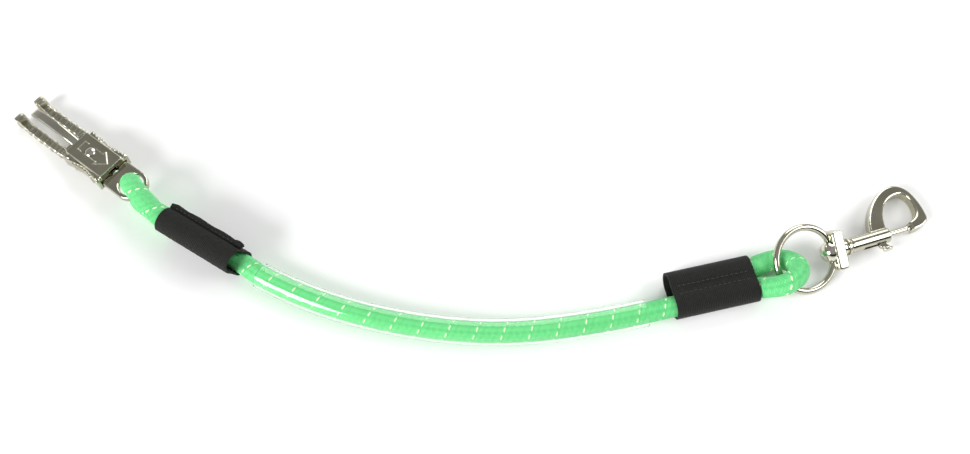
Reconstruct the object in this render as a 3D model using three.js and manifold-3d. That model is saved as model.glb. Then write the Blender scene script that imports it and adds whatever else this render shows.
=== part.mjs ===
// A short tie lead: an elastic rope with a loop at each end, a panic hook on one loop and a bolt snap on the other.
// Millimetres, +Z up, lying on the plane z = 0. The panic hook is at -X and the bolt snap is at +X.
import * as THREE from "three";
import { mergeVertices } from "three/addons/utils/BufferGeometryUtils.js";
import Module from "manifold-3d";

const wasm = await Module();
wasm.setup();

// ---------------------------------------------------------------------------
// Driving dimensions
// ---------------------------------------------------------------------------
const GAP = 0.3; // clearance between pieces that touch on the real object

// Rope, hose and sleeves
const ROPE_DIAMETER = 12;
const ROPE_SHEATH_WALL = 1.4;
const HOSE_CLEARANCE = 0.4; // between the rope and the hose's bore
const HOSE_WALL = 1.1;
const WEBBING = 1.2;
const SLEEVE_LEFT_LENGTH = 50;
const SLEEVE_RIGHT_LENGTH = 48;
const SLEEVE_LEFT_ROLL = 68; // degrees from strands side by side to strands stacked
const FIN_HEIGHT = 3.6;
const STITCH_WIDTH = 0.9;
const STITCH_THICKNESS = 0.6;
const STITCH_MARGIN = 3;
const STITCH_SETBACK = 1.2; // from the sleeve's side to the fin's row of stitches

// Panic hook, along its own +X from the middle of its eye towards its prongs
const EYE_CLEARANCE = 1.2; // between the rope and the eye's hole
const EYE_RIM = 2.6;
const EYE_EDGE_ROUND = 1;
const EYE_PLATE_THICKNESS = 4;
const EYE_PLATE_LENGTH = 16;
const GUIDE_ROD_DIAMETER = 5.6;
const COLLAR_OVERLAP = 1; // how far the collar covers the eye plate at rest
const COLLAR_LENGTH = 31;
const COLLAR_DEPTH = 13;
const COLLAR_EDGE_ROUND = 0.7;
const COLLAR_FACE_WIDTH = 16.8;
const COLLAR_FLANGE_EXTRA = 4.2; // how much wider than the eye plate the flanges are
const COLLAR_WAIST_DROP = 4.4; // how much narrower than the flanges the waist is
const COLLAR_SIDE_SETBACK = 1.7; // from the collar's faces to its gripping sides
const COLLAR_SIDE_ROUND = 2.2;
const COLLAR_TRAVEL = 7;
const COLLAR_FRONT_WALL = 1.4;
const COLLAR_SIDE_WALL = 0.8;
const COLLAR_STOP_WALL = 3.6;
const COLLAR_RIBS = 7;
const COLLAR_RIB_PITCH = 2.5;
const COLLAR_RIB_WIDTH = 1.2;
const COLLAR_RIB_HEIGHT = 4.4;
const COLLAR_RIB_REACH = 0.5;
const COLLAR_PIN_HEAD = 6.8;
const COLLAR_PIN_SHANK = 2.6;
const COLLAR_PIN_DOME = 1.3;
const COLLAR_SPRING_WIRE = 1;
const COLLAR_SPRING_TURNS = 5;
const ROOT_COVERED = 10.6; // how far the collar's front covers the root of the hook
const ROOT_SHOWING = 3;
const JAW_PIN_INSET = 4; // from the collar's front to the jaw's pin
const JAW_PIN_HEIGHT = 0.5;
const JAW_PIN_DIAMETER = 2.8;
const JAW_KNUCKLE_RADIUS = 3.4;
const JAW_WIDTH = 5.4;
const JAW_ROOT_THICKNESS = 4.6;
const JAW_TIP_THICKNESS = 3.2;
const BAR_ROUND = 0.9; // the rounded edges of the jaw and the prongs
const PRONG_WIDTH = 5.2;
const PRONG_ROOT_THICKNESS = 5.4;
const PRONG_TIP_THICKNESS = 4.2;
const PRONG_SPACING = 15.6;
const PRONG_LENGTH = 45;
const KNOB_WIDTH = 6.8;
const KNOB_LENGTH = 6.8;
const KNOB_HEIGHT = 8;
const KNOB_ROUND = 1.2;
const KNOB_INSET = 1;
const KNOB_DROP = 0.4;

// Ring and bolt snap, along their own +X from the middle of the ring towards the snap
const RING_RADIUS = 18; // to the middle of the wire
const RING_WIRE = 4;
const HUB_LENGTH = 22.4;
const HUB_DEPTH = 10.4;
const HUB_THICKNESS = 7;
const HUB_BITE = 1.5; // from the middle of the ring's wire back to the hub's rear
const HUB_CORNER = 2;
const HUB_ROUND = 0.9;
const RIVET_HEAD_DIAMETER = 12.5;
const RIVET_HEAD_HEIGHT = 5.6;
const RIVET_REACH = 5; // how far the rivet's shank reaches into the barrel
const WASHER_RIM = 1.5; // from the washer's bore to its edge
const WASHER_THICKNESS = 1.2;
const BARREL_BORE = 5.6; // takes the bolt's plunger, its spring and the rivet's shank
const BARREL_WALL = 1.7;
const BARREL_LENGTH = 29;
const BARREL_FRONT_WALL = 3;
const BARREL_EDGE = 0.6;
const NECK_DROP = 0.8; // how much smaller than the barrel the neck's radius is
const FLANGE_RISE = 0.5; // how much larger than the barrel the flange's radius is
const BOLT_ROD_DIAMETER = 3.4;
const BOLT_REACH = 14.6; // from the barrel's front to the bolt's tip
const BOLT_TRAVEL = 9;
const BOLT_SPRING_WIRE = 0.7;
const BOLT_SPRING_TURNS = 6;
const PLUNGER_FRONT_LAND = 0.8; // the plunger ahead of and behind the thumb piece
const PLUNGER_REAR_LAND = 1;
const THUMB_WIDTH = 2.6;
const THUMB_LENGTH = 4.4;
const THUMB_HEIGHT = 4.4;
const THUMB_FLARE = 2;
const CRESCENT_THICKNESS = 6.4;
const CRESCENT_ROUND = 1.1;
const CRESCENT_ROOT = [-11.4, 1]; // from the middle of the barrel's front
const CRESCENT_OUTSIDE = [
  [-9.5, 12, -1, 22.5, 10, 26.6],
  [16, 28.6, 22.8, 27.6, 26, 20],
  [27.8, 15, 28.4, 8, 27.4, 2.5],
];
const CRESCENT_NOSE = [26, -1, 21, -2.6]; // the curve's two controls on the way to the bolt's seat
const CRESCENT_SEAT_LOW = -2.6;
const CRESCENT_SEAT_HIGH = 2.8;
const CRESCENT_INSIDE = [
  [19, 4, 22, 5, 22.8, 9],
  [24.4, 14.4, 23.4, 20.6, 18.4, 21],
  [11, 21.6, 1, 16, -0.6, 1],
];

// Where the two hooks lie: the middle of the eye, and the point of the ring's wire that the loop holds.
// Turns are in degrees.
const HOOK_PLACE = new THREE.Vector3(-190, -1.1, 13.96);
const HOOK_YAW = 142;
const HOOK_PITCH = 4.9;
const RING_HELD = new THREE.Vector3(179.32, -56.756, 11.339);
const RING_HELD_ANGLE = 195; // where on the ring that point is
const RING_YAW = 19.5;
const RING_PITCH = 5.8;
const RING_ROLL = 30;

// The rope's route, from its tail inside the left sleeve to its tail inside the right sleeve
const EYE_PULL = -55; // degrees, the way the loop leaves the eye
const EYE_WRAP_LIFT = 0.74; // from the eye's middle up to the rope's half turn
const SLEEVE_LEFT_MOUTH = new THREE.Vector3(-165.7, -23.6, 13.44);
const SLEEVE_LEFT_YAW = -32;
const SLEEVE_RIGHT_MOUTH = new THREE.Vector3(117.8, -67.9, 7.6);
const SLEEVE_RIGHT_YAW = 13.2;
const TAIL_INSET = 8; // how far each rope end stops inside its sleeve
const STRAIGHT = 5; // how far inside each mouth a strand is already straight
const MOUTH_REACH = 2; // how far outside each mouth a strand starts to bend
const RUN_POINTS = [
  [-111.5, -55.2, 7.6],
  [-94, -64.2, 7.6],
  [-72.5, -73, 7.6],
  [-49.5, -80, 7.6],
  [-26.5, -85, 7.6],
  [-3.5, -88.2, 7.6],
  [19.5, -89.4, 7.6],
  [42.5, -88.4, 7.6],
  [65.5, -85.4, 7.6],
  [86.5, -81.6, 7.6],
  [103.5, -77.9, 7.6],
];
const LOOP_POINTS = [
  [171.9, -63.7, 10.6],
  [175.3, -64.7, 13.8],
  [179, -65, 16.5],
  [183.3, -63.1, 17.3],
  [186.8, -60, 16.9],
  [188.9, -56, 15.4],
  [189.1, -51.8, 13],
  [186.9, -47.9, 10.2],
  [182.8, -45.7, 8],
  [177.5, -45.6, 6.9],
  [171.5, -47.5, 6.9],
];

// ---------------------------------------------------------------------------
// Solids
// ---------------------------------------------------------------------------

/** A closed geometry as a solid that can be joined and cut. */
function solid(geometry) {
  const bare = geometry.clone();
  bare.deleteAttribute("normal");
  bare.deleteAttribute("uv");
  const merged = mergeVertices(bare, 1e-4);
  return new wasm.Manifold(
    new wasm.Mesh({
      numProp: 3,
      vertProperties: merged.attributes.position.array,
      triVerts: new Uint32Array(merged.index.array),
    }),
  );
}

/** A joined or cut solid as a geometry again. */
function geometryOf(shape) {
  const mesh = shape.getMesh();
  const geometry = new THREE.BufferGeometry();
  geometry.setAttribute("position", new THREE.BufferAttribute(mesh.vertProperties, 3));
  geometry.setIndex(new THREE.BufferAttribute(mesh.triVerts, 1));
  return geometry;
}

const joined = (first, ...rest) => rest.reduce((body, piece) => body.add(solid(piece)), solid(first));
const cut = (body, ...tools) => tools.reduce((left, tool) => left.subtract(solid(tool)), body);

/** A solid of revolution about X. Each profile point is [x, radius]. */
function turned(profile, sides) {
  const points = profile.map(([x, radius]) => new THREE.Vector2(radius, x));
  return new THREE.LatheGeometry(points, sides).rotateZ(-Math.PI / 2);
}

/** A round bar about X between two places, with its ends on the axis. */
function roundBar(from, to, radius, sides = 16) {
  return turned([[from, 0], [from, radius], [to, radius], [to, 0]], sides);
}

/** The profile of a dome about X, from its rim at x to its top on the axis. A negative height domes towards -X. */
function domed(x, height, radius) {
  const profile = [];
  for (let i = 0; i <= 5; i++) {
    const angle = (i / 5) * (Math.PI / 2);
    profile.push([x + height * Math.sin(angle), i === 5 ? 0 : radius * Math.cos(angle)]);
  }
  return profile;
}

/** A box between two corners. */
function block(low, high) {
  const size = high.map((value, i) => value - low[i]);
  const middle = high.map((value, i) => (value + low[i]) / 2);
  return new THREE.BoxGeometry(...size).translate(...middle);
}

/** A flat outline in X and Y, made thick about z = 0 with bevelled edges that stay inside the outline. */
function slab(outline, thickness, bevel, curveSegments = 8) {
  const geometry = new THREE.ExtrudeGeometry(outline, {
    depth: thickness - 2 * bevel,
    bevelEnabled: bevel > 0,
    bevelSize: bevel,
    bevelThickness: bevel,
    bevelOffset: -bevel,
    bevelSegments: 2,
    curveSegments,
  });
  return geometry.translate(0, 0, -(thickness - 2 * bevel) / 2);
}

/** A slab that stands on its edge: its outline is drawn in X and Z, and its thickness runs along Y. */
const standing = (geometry) => geometry.rotateX(Math.PI / 2);

/** An outline that follows a spline with a width that changes evenly from its start to its end. */
function ribbon(points, startWidth, endWidth, stations = 12) {
  const spine = new THREE.SplineCurve(points.map(([x, y]) => new THREE.Vector2(x, y)));
  const left = [];
  const right = [];
  for (let i = 0; i <= stations; i++) {
    const share = i / stations;
    const centre = spine.getPoint(share);
    const along = spine.getTangent(share);
    const half = THREE.MathUtils.lerp(startWidth, endWidth, share) / 2;
    left.push(new THREE.Vector2(centre.x - along.y * half, centre.y + along.x * half));
    right.unshift(new THREE.Vector2(centre.x + along.y * half, centre.y - along.x * half));
  }
  return new THREE.Shape([...left, ...right]);
}

/** A helical spring about X between two places, with its wire's middle at the given radius. */
function spring(from, to, radius, wire, turns) {
  const path = new THREE.Curve();
  path.getPoint = (share, target = new THREE.Vector3()) => {
    const angle = share * turns * 2 * Math.PI;
    const x = THREE.MathUtils.lerp(from + wire / 2, to - wire / 2, share);
    return target.set(x, radius * Math.cos(angle), radius * Math.sin(angle));
  };
  const section = new THREE.Shape().absarc(0, 0, wire / 2, 0, 2 * Math.PI);
  return new THREE.ExtrudeGeometry(section, { extrudePath: path, steps: turns * 10, curveSegments: 3 });
}

// ---------------------------------------------------------------------------
// Materials and placing
// ---------------------------------------------------------------------------
const paint = (color, roughness, metalness = 0) => new THREE.MeshStandardMaterial({ color, roughness, metalness });
const BRAID = () => paint(0x42dd72, 0.75);
const YARN = () => paint(0xe9e6da, 0.9);
const VINYL = () =>
  new THREE.MeshStandardMaterial({ color: 0xe8f4ea, roughness: 0.15, transparent: true, opacity: 0.35 });
const WEB = () => paint(0x1d1d1b, 0.9);
const THREAD = () => paint(0x2b2b28, 0.8);
const NICKEL = () => paint(0xb9b6a6, 0.22, 1);
const SPRING_STEEL = () => paint(0x9a9a94, 0.35, 1);

const lead = new THREE.Group();

/** Adds a named piece to a group, from a geometry or from a joined or cut solid. */
function piece(group, name, shape, material) {
  const geometry = shape.isBufferGeometry ? shape : geometryOf(shape);
  const mesh = new THREE.Mesh(geometry, material);
  mesh.name = name;
  group.add(mesh);
  return mesh;
}

/** A group at a place, turned by roll, pitch and yaw in degrees. */
function frameAt(place, yaw, pitch = 0, roll = 0) {
  const group = new THREE.Group();
  group.position.copy(place);
  group.rotation.set(...[roll, pitch, yaw].map(THREE.MathUtils.degToRad), "ZYX");
  group.updateMatrixWorld(true);
  lead.add(group);
  return group;
}

// ---------------------------------------------------------------------------
// Sleeves: two rope strands lie in each, SPREAD apart
// ---------------------------------------------------------------------------
const ROPE_RADIUS = ROPE_DIAMETER / 2;
const SPREAD = ROPE_DIAMETER + 2 * GAP;
const SLEEVE_BORE = ROPE_RADIUS + GAP;
const SLEEVE_OUTER = SLEEVE_BORE + WEBBING;

/** A long hole or bar along X whose section is two half circles SPREAD apart along Y. */
function stadium(radius, from, to) {
  const outline = new THREE.Shape();
  outline.absarc(SPREAD / 2, 0, radius, -Math.PI / 2, Math.PI / 2);
  outline.absarc(-SPREAD / 2, 0, radius, Math.PI / 2, (3 * Math.PI) / 2);
  const geometry = new THREE.ExtrudeGeometry(outline, { depth: to - from, bevelEnabled: false, curveSegments: 8 });
  return geometry.rotateX(Math.PI / 2).rotateZ(Math.PI / 2).translate(from, 0, 0);
}

/** A row of stitches laid along X on a flat stretch of webbing. */
function stitchRow(length, y, z) {
  const low = [STITCH_MARGIN, y - STITCH_WIDTH / 2, z + GAP];
  const high = [length - STITCH_MARGIN, y + STITCH_WIDTH / 2, z + GAP + STITCH_THICKNESS];
  return block(low, high);
}

const leftSleeve = frameAt(SLEEVE_LEFT_MOUTH, SLEEVE_LEFT_YAW, 0, -SLEEVE_LEFT_ROLL);
const rightSleeve = frameAt(SLEEVE_RIGHT_MOUTH, SLEEVE_RIGHT_YAW);

/** The left sleeve has a fin along its upper side, where the webbing's two ends are stitched to each other. */
function addLeftSleeve() {
  const length = SLEEVE_LEFT_LENGTH;
  const finFace = -SPREAD / 2;
  const finEdge = SLEEVE_OUTER + FIN_HEIGHT;
  const fin = block([0, finFace, SLEEVE_OUTER - WEBBING], [length, finFace + 2 * WEBBING, finEdge]);
  const body = joined(stadium(SLEEVE_OUTER, 0, length), fin);
  piece(leftSleeve, "sleeve_left", cut(body, stadium(SLEEVE_BORE, -1, length + 1)), WEB());
  const stitchLow = SLEEVE_OUTER + STITCH_SETBACK;
  const row = block(
    [STITCH_MARGIN, finFace - GAP - STITCH_THICKNESS, stitchLow],
    [length - STITCH_MARGIN, finFace - GAP, stitchLow + STITCH_WIDTH],
  );
  piece(leftSleeve, "stitch_row_left", row, THREAD());
}

/** The right sleeve lies flat and is stitched between its two strands. */
function addRightSleeve() {
  const length = SLEEVE_RIGHT_LENGTH;
  const body = solid(stadium(SLEEVE_OUTER, 0, length));
  piece(rightSleeve, "sleeve_right", cut(body, stadium(SLEEVE_BORE, -1, length + 1)), WEB());
  piece(rightSleeve, "stitch_row_right_a", stitchRow(length, SPREAD / 8, SLEEVE_OUTER), THREAD());
  piece(rightSleeve, "stitch_row_right_b", stitchRow(length, -SPREAD / 8, SLEEVE_OUTER), THREAD());
}

// ---------------------------------------------------------------------------
// Rope and hose
// ---------------------------------------------------------------------------

/** A point on one of the two strands in a sleeve. side is +1 or -1. */
function strandPoint(sleeve, x, side) {
  return new THREE.Vector3(x, (side * SPREAD) / 2, 0).applyMatrix4(sleeve.matrixWorld);
}

// The loop wraps round the middle of the eye's rim, so that its strand passes through the middle of the hole.
const EYE_HOLE_RADIUS = ROPE_RADIUS + EYE_CLEARANCE;
const EYE_PLATE_WIDTH = 2 * (EYE_HOLE_RADIUS + EYE_RIM);
const EYE_WRAP_RADIUS = EYE_HOLE_RADIUS + EYE_RIM / 2;
const pull = THREE.MathUtils.degToRad(EYE_PULL);
const wrapAlong = new THREE.Vector3(Math.cos(pull), Math.sin(pull), 0);
const wrapCentre = HOOK_PLACE.clone().addScaledVector(wrapAlong, EYE_WRAP_RADIUS);
wrapCentre.z += EYE_WRAP_LIFT;

/** The half turn round the rim, from above it, down through the eye and out below it. */
function wrapPoints() {
  const points = [];
  for (let i = 0; i <= 6; i++) {
    const angle = (i / 6) * Math.PI;
    const point = wrapCentre.clone().addScaledVector(wrapAlong, -EYE_WRAP_RADIUS * Math.sin(angle));
    point.z += EYE_WRAP_RADIUS * Math.cos(angle);
    points.push(point);
  }
  return points;
}

/** A smooth path that is sampled evenly between its points, so that close points give a close bend. */
class PointedCurve extends THREE.CatmullRomCurve3 {
  getUtoTmapping(share) {
    return share;
  }
}

const vectors = (points) => points.map((point) => new THREE.Vector3(...point));

/** The points of one strand through a sleeve, which is straight to just past both mouths. */
function strand(sleeve, from, to, side) {
  return [0, 0.5, 1].map((share) => strandPoint(sleeve, THREE.MathUtils.lerp(from, to, share), side));
}

/** The whole rope from tail to tail. */
function ropePath() {
  const left = SLEEVE_LEFT_LENGTH;
  const right = SLEEVE_RIGHT_LENGTH;
  const points = [
    ...strand(leftSleeve, left - TAIL_INSET, STRAIGHT, -1),
    strandPoint(leftSleeve, -MOUTH_REACH, -1),
    ...wrapPoints(),
    strandPoint(leftSleeve, -MOUTH_REACH, 1),
    ...strand(leftSleeve, STRAIGHT, left - STRAIGHT, 1),
    strandPoint(leftSleeve, left + MOUTH_REACH, 1),
    ...vectors(RUN_POINTS),
    strandPoint(rightSleeve, -MOUTH_REACH, -1),
    ...strand(rightSleeve, STRAIGHT, right - STRAIGHT, -1),
    strandPoint(rightSleeve, right + MOUTH_REACH, -1),
    ...vectors(LOOP_POINTS),
    strandPoint(rightSleeve, right + MOUTH_REACH, 1),
    ...strand(rightSleeve, right - STRAIGHT, TAIL_INSET, 1),
  ];
  return new PointedCurve(points, false, "centripetal");
}

/** A tube along a path. A bore of 0 makes it solid. */
function tube(path, radius, bore, steps, curveSegments) {
  const section = new THREE.Shape().absarc(0, 0, radius, 0, 2 * Math.PI);
  if (bore > 0) section.holes.push(new THREE.Path().absarc(0, 0, bore, 0, 2 * Math.PI));
  return new THREE.ExtrudeGeometry(section, { extrudePath: path, steps, curveSegments });
}

function addRope() {
  const path = ropePath();
  const steps = (path.points.length - 1) * 2;
  const sheathBore = ROPE_RADIUS - ROPE_SHEATH_WALL;
  piece(lead, "rope_sheath", tube(path, ROPE_RADIUS, sheathBore, steps, 5), BRAID());
  piece(lead, "rope_core", tube(path, sheathBore - GAP, 0, steps, 5), YARN());
}

/** The clear hose has the rope inside it along the whole run between the sleeves, and ends short of both. */
function addHose() {
  const points = vectors(RUN_POINTS);
  const path = new PointedCurve(points, false, "centripetal");
  const bore = ROPE_RADIUS + HOSE_CLEARANCE;
  piece(lead, "clear_hose", tube(path, bore + HOSE_WALL, bore, (points.length - 1) * 2, 6), VINYL());
}

// ---------------------------------------------------------------------------
// Panic hook
// ---------------------------------------------------------------------------
const hook = frameAt(HOOK_PLACE, HOOK_YAW, HOOK_PITCH);
const COLLAR_FLANGE_WIDTH = EYE_PLATE_WIDTH + COLLAR_FLANGE_EXTRA;
const COLLAR_REAR = EYE_PLATE_LENGTH - COLLAR_OVERLAP;
const COLLAR_FRONT = COLLAR_REAR + COLLAR_LENGTH;
const COLLAR_CAVITY_WIDTH = COLLAR_FACE_WIDTH - 2 * COLLAR_SIDE_WALL;
const ROOT_WIDTH = COLLAR_CAVITY_WIDTH - 2 * GAP;
const ROOT_HEIGHT = COLLAR_DEPTH - 2 * COLLAR_FRONT_WALL - 2 * GAP;
const ROOT_REAR = COLLAR_FRONT - ROOT_COVERED;
const ROOT_FRONT = COLLAR_FRONT + ROOT_SHOWING;
const STOP_REAR = ROOT_REAR - GAP - COLLAR_STOP_WALL;
const SPRING_ROOM = GUIDE_ROD_DIAMETER / 2 + COLLAR_SPRING_WIRE + 3 * GAP;
const COLLAR_PIN_X = STOP_REAR + COLLAR_STOP_WALL / 2;
const PIN_SEAT_HEIGHT = COLLAR_DEPTH / 2 - COLLAR_EDGE_ROUND;
const PIN_HOLE_RADIUS = JAW_PIN_DIAMETER / 2 + GAP;
const JAW_PIVOT = [COLLAR_FRONT - JAW_PIN_INSET, 0, JAW_PIN_HEIGHT];

// Each spine point is a share of the bar's length and a height.
const PRONG_SPINE = [
  [0, -1.6],
  [0.12, -3.2],
  [0.3, -4.6],
  [0.52, -5],
  [0.74, -4.8],
  [0.9, -3.4],
  [1, -0.8],
];
const JAW_SPINE = [
  [0, 0],
  [0.14, 1.7],
  [0.34, 4.2],
  [0.56, 5.2],
  [0.78, 4.6],
  [0.92, 3.2],
  [1, 1.8],
];

/** One prong of the fork, with the knob at its end. */
function prong(side) {
  const y = (side * PRONG_SPACING) / 2;
  const start = COLLAR_FRONT + 4 * GAP;
  const spine = PRONG_SPINE.map(([share, z]) => [start + share * PRONG_LENGTH, z]);
  const arm = standing(slab(ribbon(spine, PRONG_ROOT_THICKNESS, PRONG_TIP_THICKNESS), PRONG_WIDTH, BAR_ROUND));
  const knobOutline = new THREE.Shape().absellipse(0, 0, KNOB_LENGTH / 2, KNOB_HEIGHT / 2, 0, 2 * Math.PI);
  const knob = standing(slab(knobOutline, KNOB_WIDTH, KNOB_ROUND));
  return [arm.translate(0, y, 0), knob.translate(start + PRONG_LENGTH - KNOB_INSET, y, -KNOB_DROP)];
}

/** The eye plate, guide rod, root and two prongs are one casting. */
function addHookBody() {
  const half = EYE_PLATE_WIDTH / 2;
  const plate = new THREE.Shape();
  plate.moveTo(EYE_PLATE_LENGTH, -half);
  plate.lineTo(EYE_PLATE_LENGTH, half);
  plate.absarc(0, 0, half, Math.PI / 2, (3 * Math.PI) / 2);
  plate.holes.push(new THREE.Path().absarc(0, 0, EYE_HOLE_RADIUS, 0, 2 * Math.PI));
  const rod = roundBar(EYE_PLATE_LENGTH - 2, ROOT_REAR + 2, GUIDE_ROD_DIAMETER / 2);
  const root = block(
    [ROOT_REAR, -ROOT_WIDTH / 2, -ROOT_HEIGHT / 2],
    [ROOT_FRONT, ROOT_WIDTH / 2, ROOT_HEIGHT / 2],
  );
  const body = joined(slab(plate, EYE_PLATE_THICKNESS, EYE_EDGE_ROUND), rod, root, ...prong(1), ...prong(-1));
  const slotRear = JAW_PIVOT[0] - JAW_KNUCKLE_RADIUS - GAP;
  const slotFloor = JAW_PIVOT[2] - JAW_KNUCKLE_RADIUS - GAP;
  const slotHalf = JAW_WIDTH / 2 + GAP;
  const jawSlot = block([slotRear, -slotHalf, slotFloor], [ROOT_FRONT + 1, slotHalf, ROOT_HEIGHT]);
  const pinHole = roundBar(-ROOT_WIDTH, ROOT_WIDTH, PIN_HOLE_RADIUS, 12).rotateZ(Math.PI / 2);
  pinHole.translate(...JAW_PIVOT);
  piece(hook, "hook_body", cut(body, jawSlot, pinHole), NICKEL());
}

/** The jaw swings up on its pin once the collar no longer covers its root. */
function addJaw() {
  const spine = JAW_SPINE.map(([share, z]) => [share * PRONG_LENGTH, z]);
  const arm = standing(slab(ribbon(spine, JAW_ROOT_THICKNESS, JAW_TIP_THICKNESS), JAW_WIDTH, BAR_ROUND));
  const knuckle = roundBar(-JAW_WIDTH / 2, JAW_WIDTH / 2, JAW_KNUCKLE_RADIUS).rotateZ(Math.PI / 2);
  const hole = roundBar(-JAW_WIDTH, JAW_WIDTH, PIN_HOLE_RADIUS, 12).rotateZ(Math.PI / 2);
  const jaw = piece(hook, "hook_jaw", cut(joined(arm, knuckle), hole), NICKEL());
  jaw.position.set(...JAW_PIVOT);
}

function addJawPin() {
  const half = ROOT_WIDTH / 2 - GAP;
  const pin = roundBar(-half, half, JAW_PIN_DIAMETER / 2, 12).rotateZ(Math.PI / 2);
  piece(hook, "jaw_pin", pin, SPRING_STEEL()).position.set(...JAW_PIVOT);
}

/** Half the collar's width at a share of its length, from the rear flange over the waist to the front flange. */
function collarHalfWidth(share) {
  const waist = 0.5 - 0.5 * Math.cos(2 * Math.PI * share);
  return (COLLAR_FLANGE_WIDTH - COLLAR_WAIST_DROP * waist) / 2;
}

/** The waisted outline of the collar's two gripping sides. */
function collarOutline() {
  const stations = 12;
  const upper = [];
  const lower = [];
  for (let i = 0; i <= stations; i++) {
    const x = COLLAR_REAR + (COLLAR_LENGTH * i) / stations;
    upper.push(new THREE.Vector2(x, collarHalfWidth(i / stations)));
    lower.unshift(new THREE.Vector2(x, -collarHalfWidth(i / stations)));
  }
  return new THREE.Shape([...lower, ...upper]);
}

/** The cross ribs on both gripping sides. */
function collarRibs() {
  const ribs = [];
  const middle = COLLAR_REAR + COLLAR_LENGTH / 2;
  for (let i = 0; i < COLLAR_RIBS; i++) {
    const x = middle + (i - (COLLAR_RIBS - 1) / 2) * COLLAR_RIB_PITCH;
    const reach = collarHalfWidth((x - COLLAR_REAR) / COLLAR_LENGTH) + COLLAR_RIB_REACH;
    const corner = [COLLAR_RIB_WIDTH / 2, reach, COLLAR_RIB_HEIGHT / 2];
    ribs.push(block([x - corner[0], -corner[1], -corner[2]], [x + corner[0], corner[1], corner[2]]));
  }
  return ribs;
}

/** The collar's outside: a block with flat faces, its two waisted gripping sides and their ribs. */
function collarOutside() {
  const faces = slab(rectangle(COLLAR_REAR, COLLAR_FRONT, COLLAR_FACE_WIDTH / 2), COLLAR_DEPTH, COLLAR_EDGE_ROUND);
  const sides = slab(collarOutline(), COLLAR_DEPTH - 2 * COLLAR_SIDE_SETBACK, COLLAR_SIDE_ROUND);
  return joined(faces, sides, ...collarRibs());
}

/** A rectangle's outline from one X to another, and as far to each side of the X axis as half its width. */
function rectangle(from, to, half) {
  const corners = [[from, -half], [to, -half], [to, half], [from, half]];
  return new THREE.Shape(corners.map(([x, y]) => new THREE.Vector2(x, y)));
}

/** The release collar slides towards the eye against its spring. */
function addCollar() {
  const plateRoom = EYE_PLATE_WIDTH / 2 + GAP;
  const plateHeight = EYE_PLATE_THICKNESS / 2 + GAP;
  const plateSlot = block(
    [COLLAR_REAR - 1, -plateRoom, -plateHeight],
    [EYE_PLATE_LENGTH + COLLAR_TRAVEL + 2 * GAP, plateRoom, plateHeight],
  );
  const springBore = roundBar(COLLAR_REAR - 1, STOP_REAR, SPRING_ROOM);
  const rodBore = roundBar(STOP_REAR - 1, ROOT_REAR + 1, GUIDE_ROD_DIAMETER / 2 + GAP);
  const rootCavity = block(
    [ROOT_REAR - GAP, -COLLAR_CAVITY_WIDTH / 2, -ROOT_HEIGHT / 2 - GAP],
    [COLLAR_FRONT + 1, COLLAR_CAVITY_WIDTH / 2, ROOT_HEIGHT / 2 + GAP],
  );
  const pinSeat = roundBar(0, COLLAR_DEPTH, COLLAR_PIN_HEAD / 2 + GAP).rotateY(-Math.PI / 2);
  pinSeat.translate(COLLAR_PIN_X, 0, PIN_SEAT_HEIGHT);
  const pinHole = roundBar(0, COLLAR_DEPTH, COLLAR_PIN_SHANK / 2 + GAP, 12).rotateY(-Math.PI / 2);
  pinHole.translate(COLLAR_PIN_X, 0, 0);
  const collar = cut(collarOutside(), plateSlot, springBore, rodBore, rootCavity, pinSeat, pinHole);
  piece(hook, "release_collar", collar, NICKEL());
}

/** A round-headed drive pin in the collar's face. */
function addCollarPin() {
  const radius = COLLAR_PIN_HEAD / 2;
  const foot = GUIDE_ROD_DIAMETER / 2 + 2 * GAP;
  const seat = PIN_SEAT_HEIGHT + GAP;
  const profile = [
    [foot, 0],
    [foot, COLLAR_PIN_SHANK / 2],
    [seat, COLLAR_PIN_SHANK / 2],
    ...domed(seat, COLLAR_PIN_DOME, radius),
  ];
  const pin = turned(profile, 16).rotateY(-Math.PI / 2);
  piece(hook, "collar_pin", pin, NICKEL()).position.set(COLLAR_PIN_X, 0, 0);
}

function addCollarSpring() {
  const radius = GUIDE_ROD_DIAMETER / 2 + GAP + COLLAR_SPRING_WIRE / 2;
  const coil = spring(EYE_PLATE_LENGTH + GAP, STOP_REAR - GAP, radius, COLLAR_SPRING_WIRE, COLLAR_SPRING_TURNS);
  piece(hook, "collar_spring", coil, SPRING_STEEL());
}

// ---------------------------------------------------------------------------
// Swivel ring and bolt snap
// ---------------------------------------------------------------------------
const ringFrame = frameAt(RING_HELD, RING_YAW, RING_PITCH, RING_ROLL);
const snapFrame = frameAt(RING_HELD, RING_YAW, RING_PITCH);
placeRing();
const HUB_REAR = RING_RADIUS - HUB_BITE;
const HUB_FRONT = HUB_REAR + HUB_THICKNESS;
const WASHER_REAR = HUB_FRONT + GAP;
const NECK_REAR = WASHER_REAR + WASHER_THICKNESS + GAP;
const BARREL_FRONT = NECK_REAR + BARREL_LENGTH;
const BARREL_RADIUS = BARREL_BORE / 2 + BARREL_WALL;
const SHANK_RADIUS = BARREL_BORE / 2 - GAP;
const SHANK_END = NECK_REAR + RIVET_REACH;
const PLUNGER_FRONT = BARREL_FRONT - BARREL_FRONT_WALL - GAP;
const THUMB_FRONT = PLUNGER_FRONT - PLUNGER_FRONT_LAND;
const THUMB_REAR = THUMB_FRONT - THUMB_LENGTH;
const PLUNGER_REAR = THUMB_REAR - PLUNGER_REAR_LAND;
const BOLT_TIP = BARREL_FRONT + BOLT_REACH;

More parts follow.
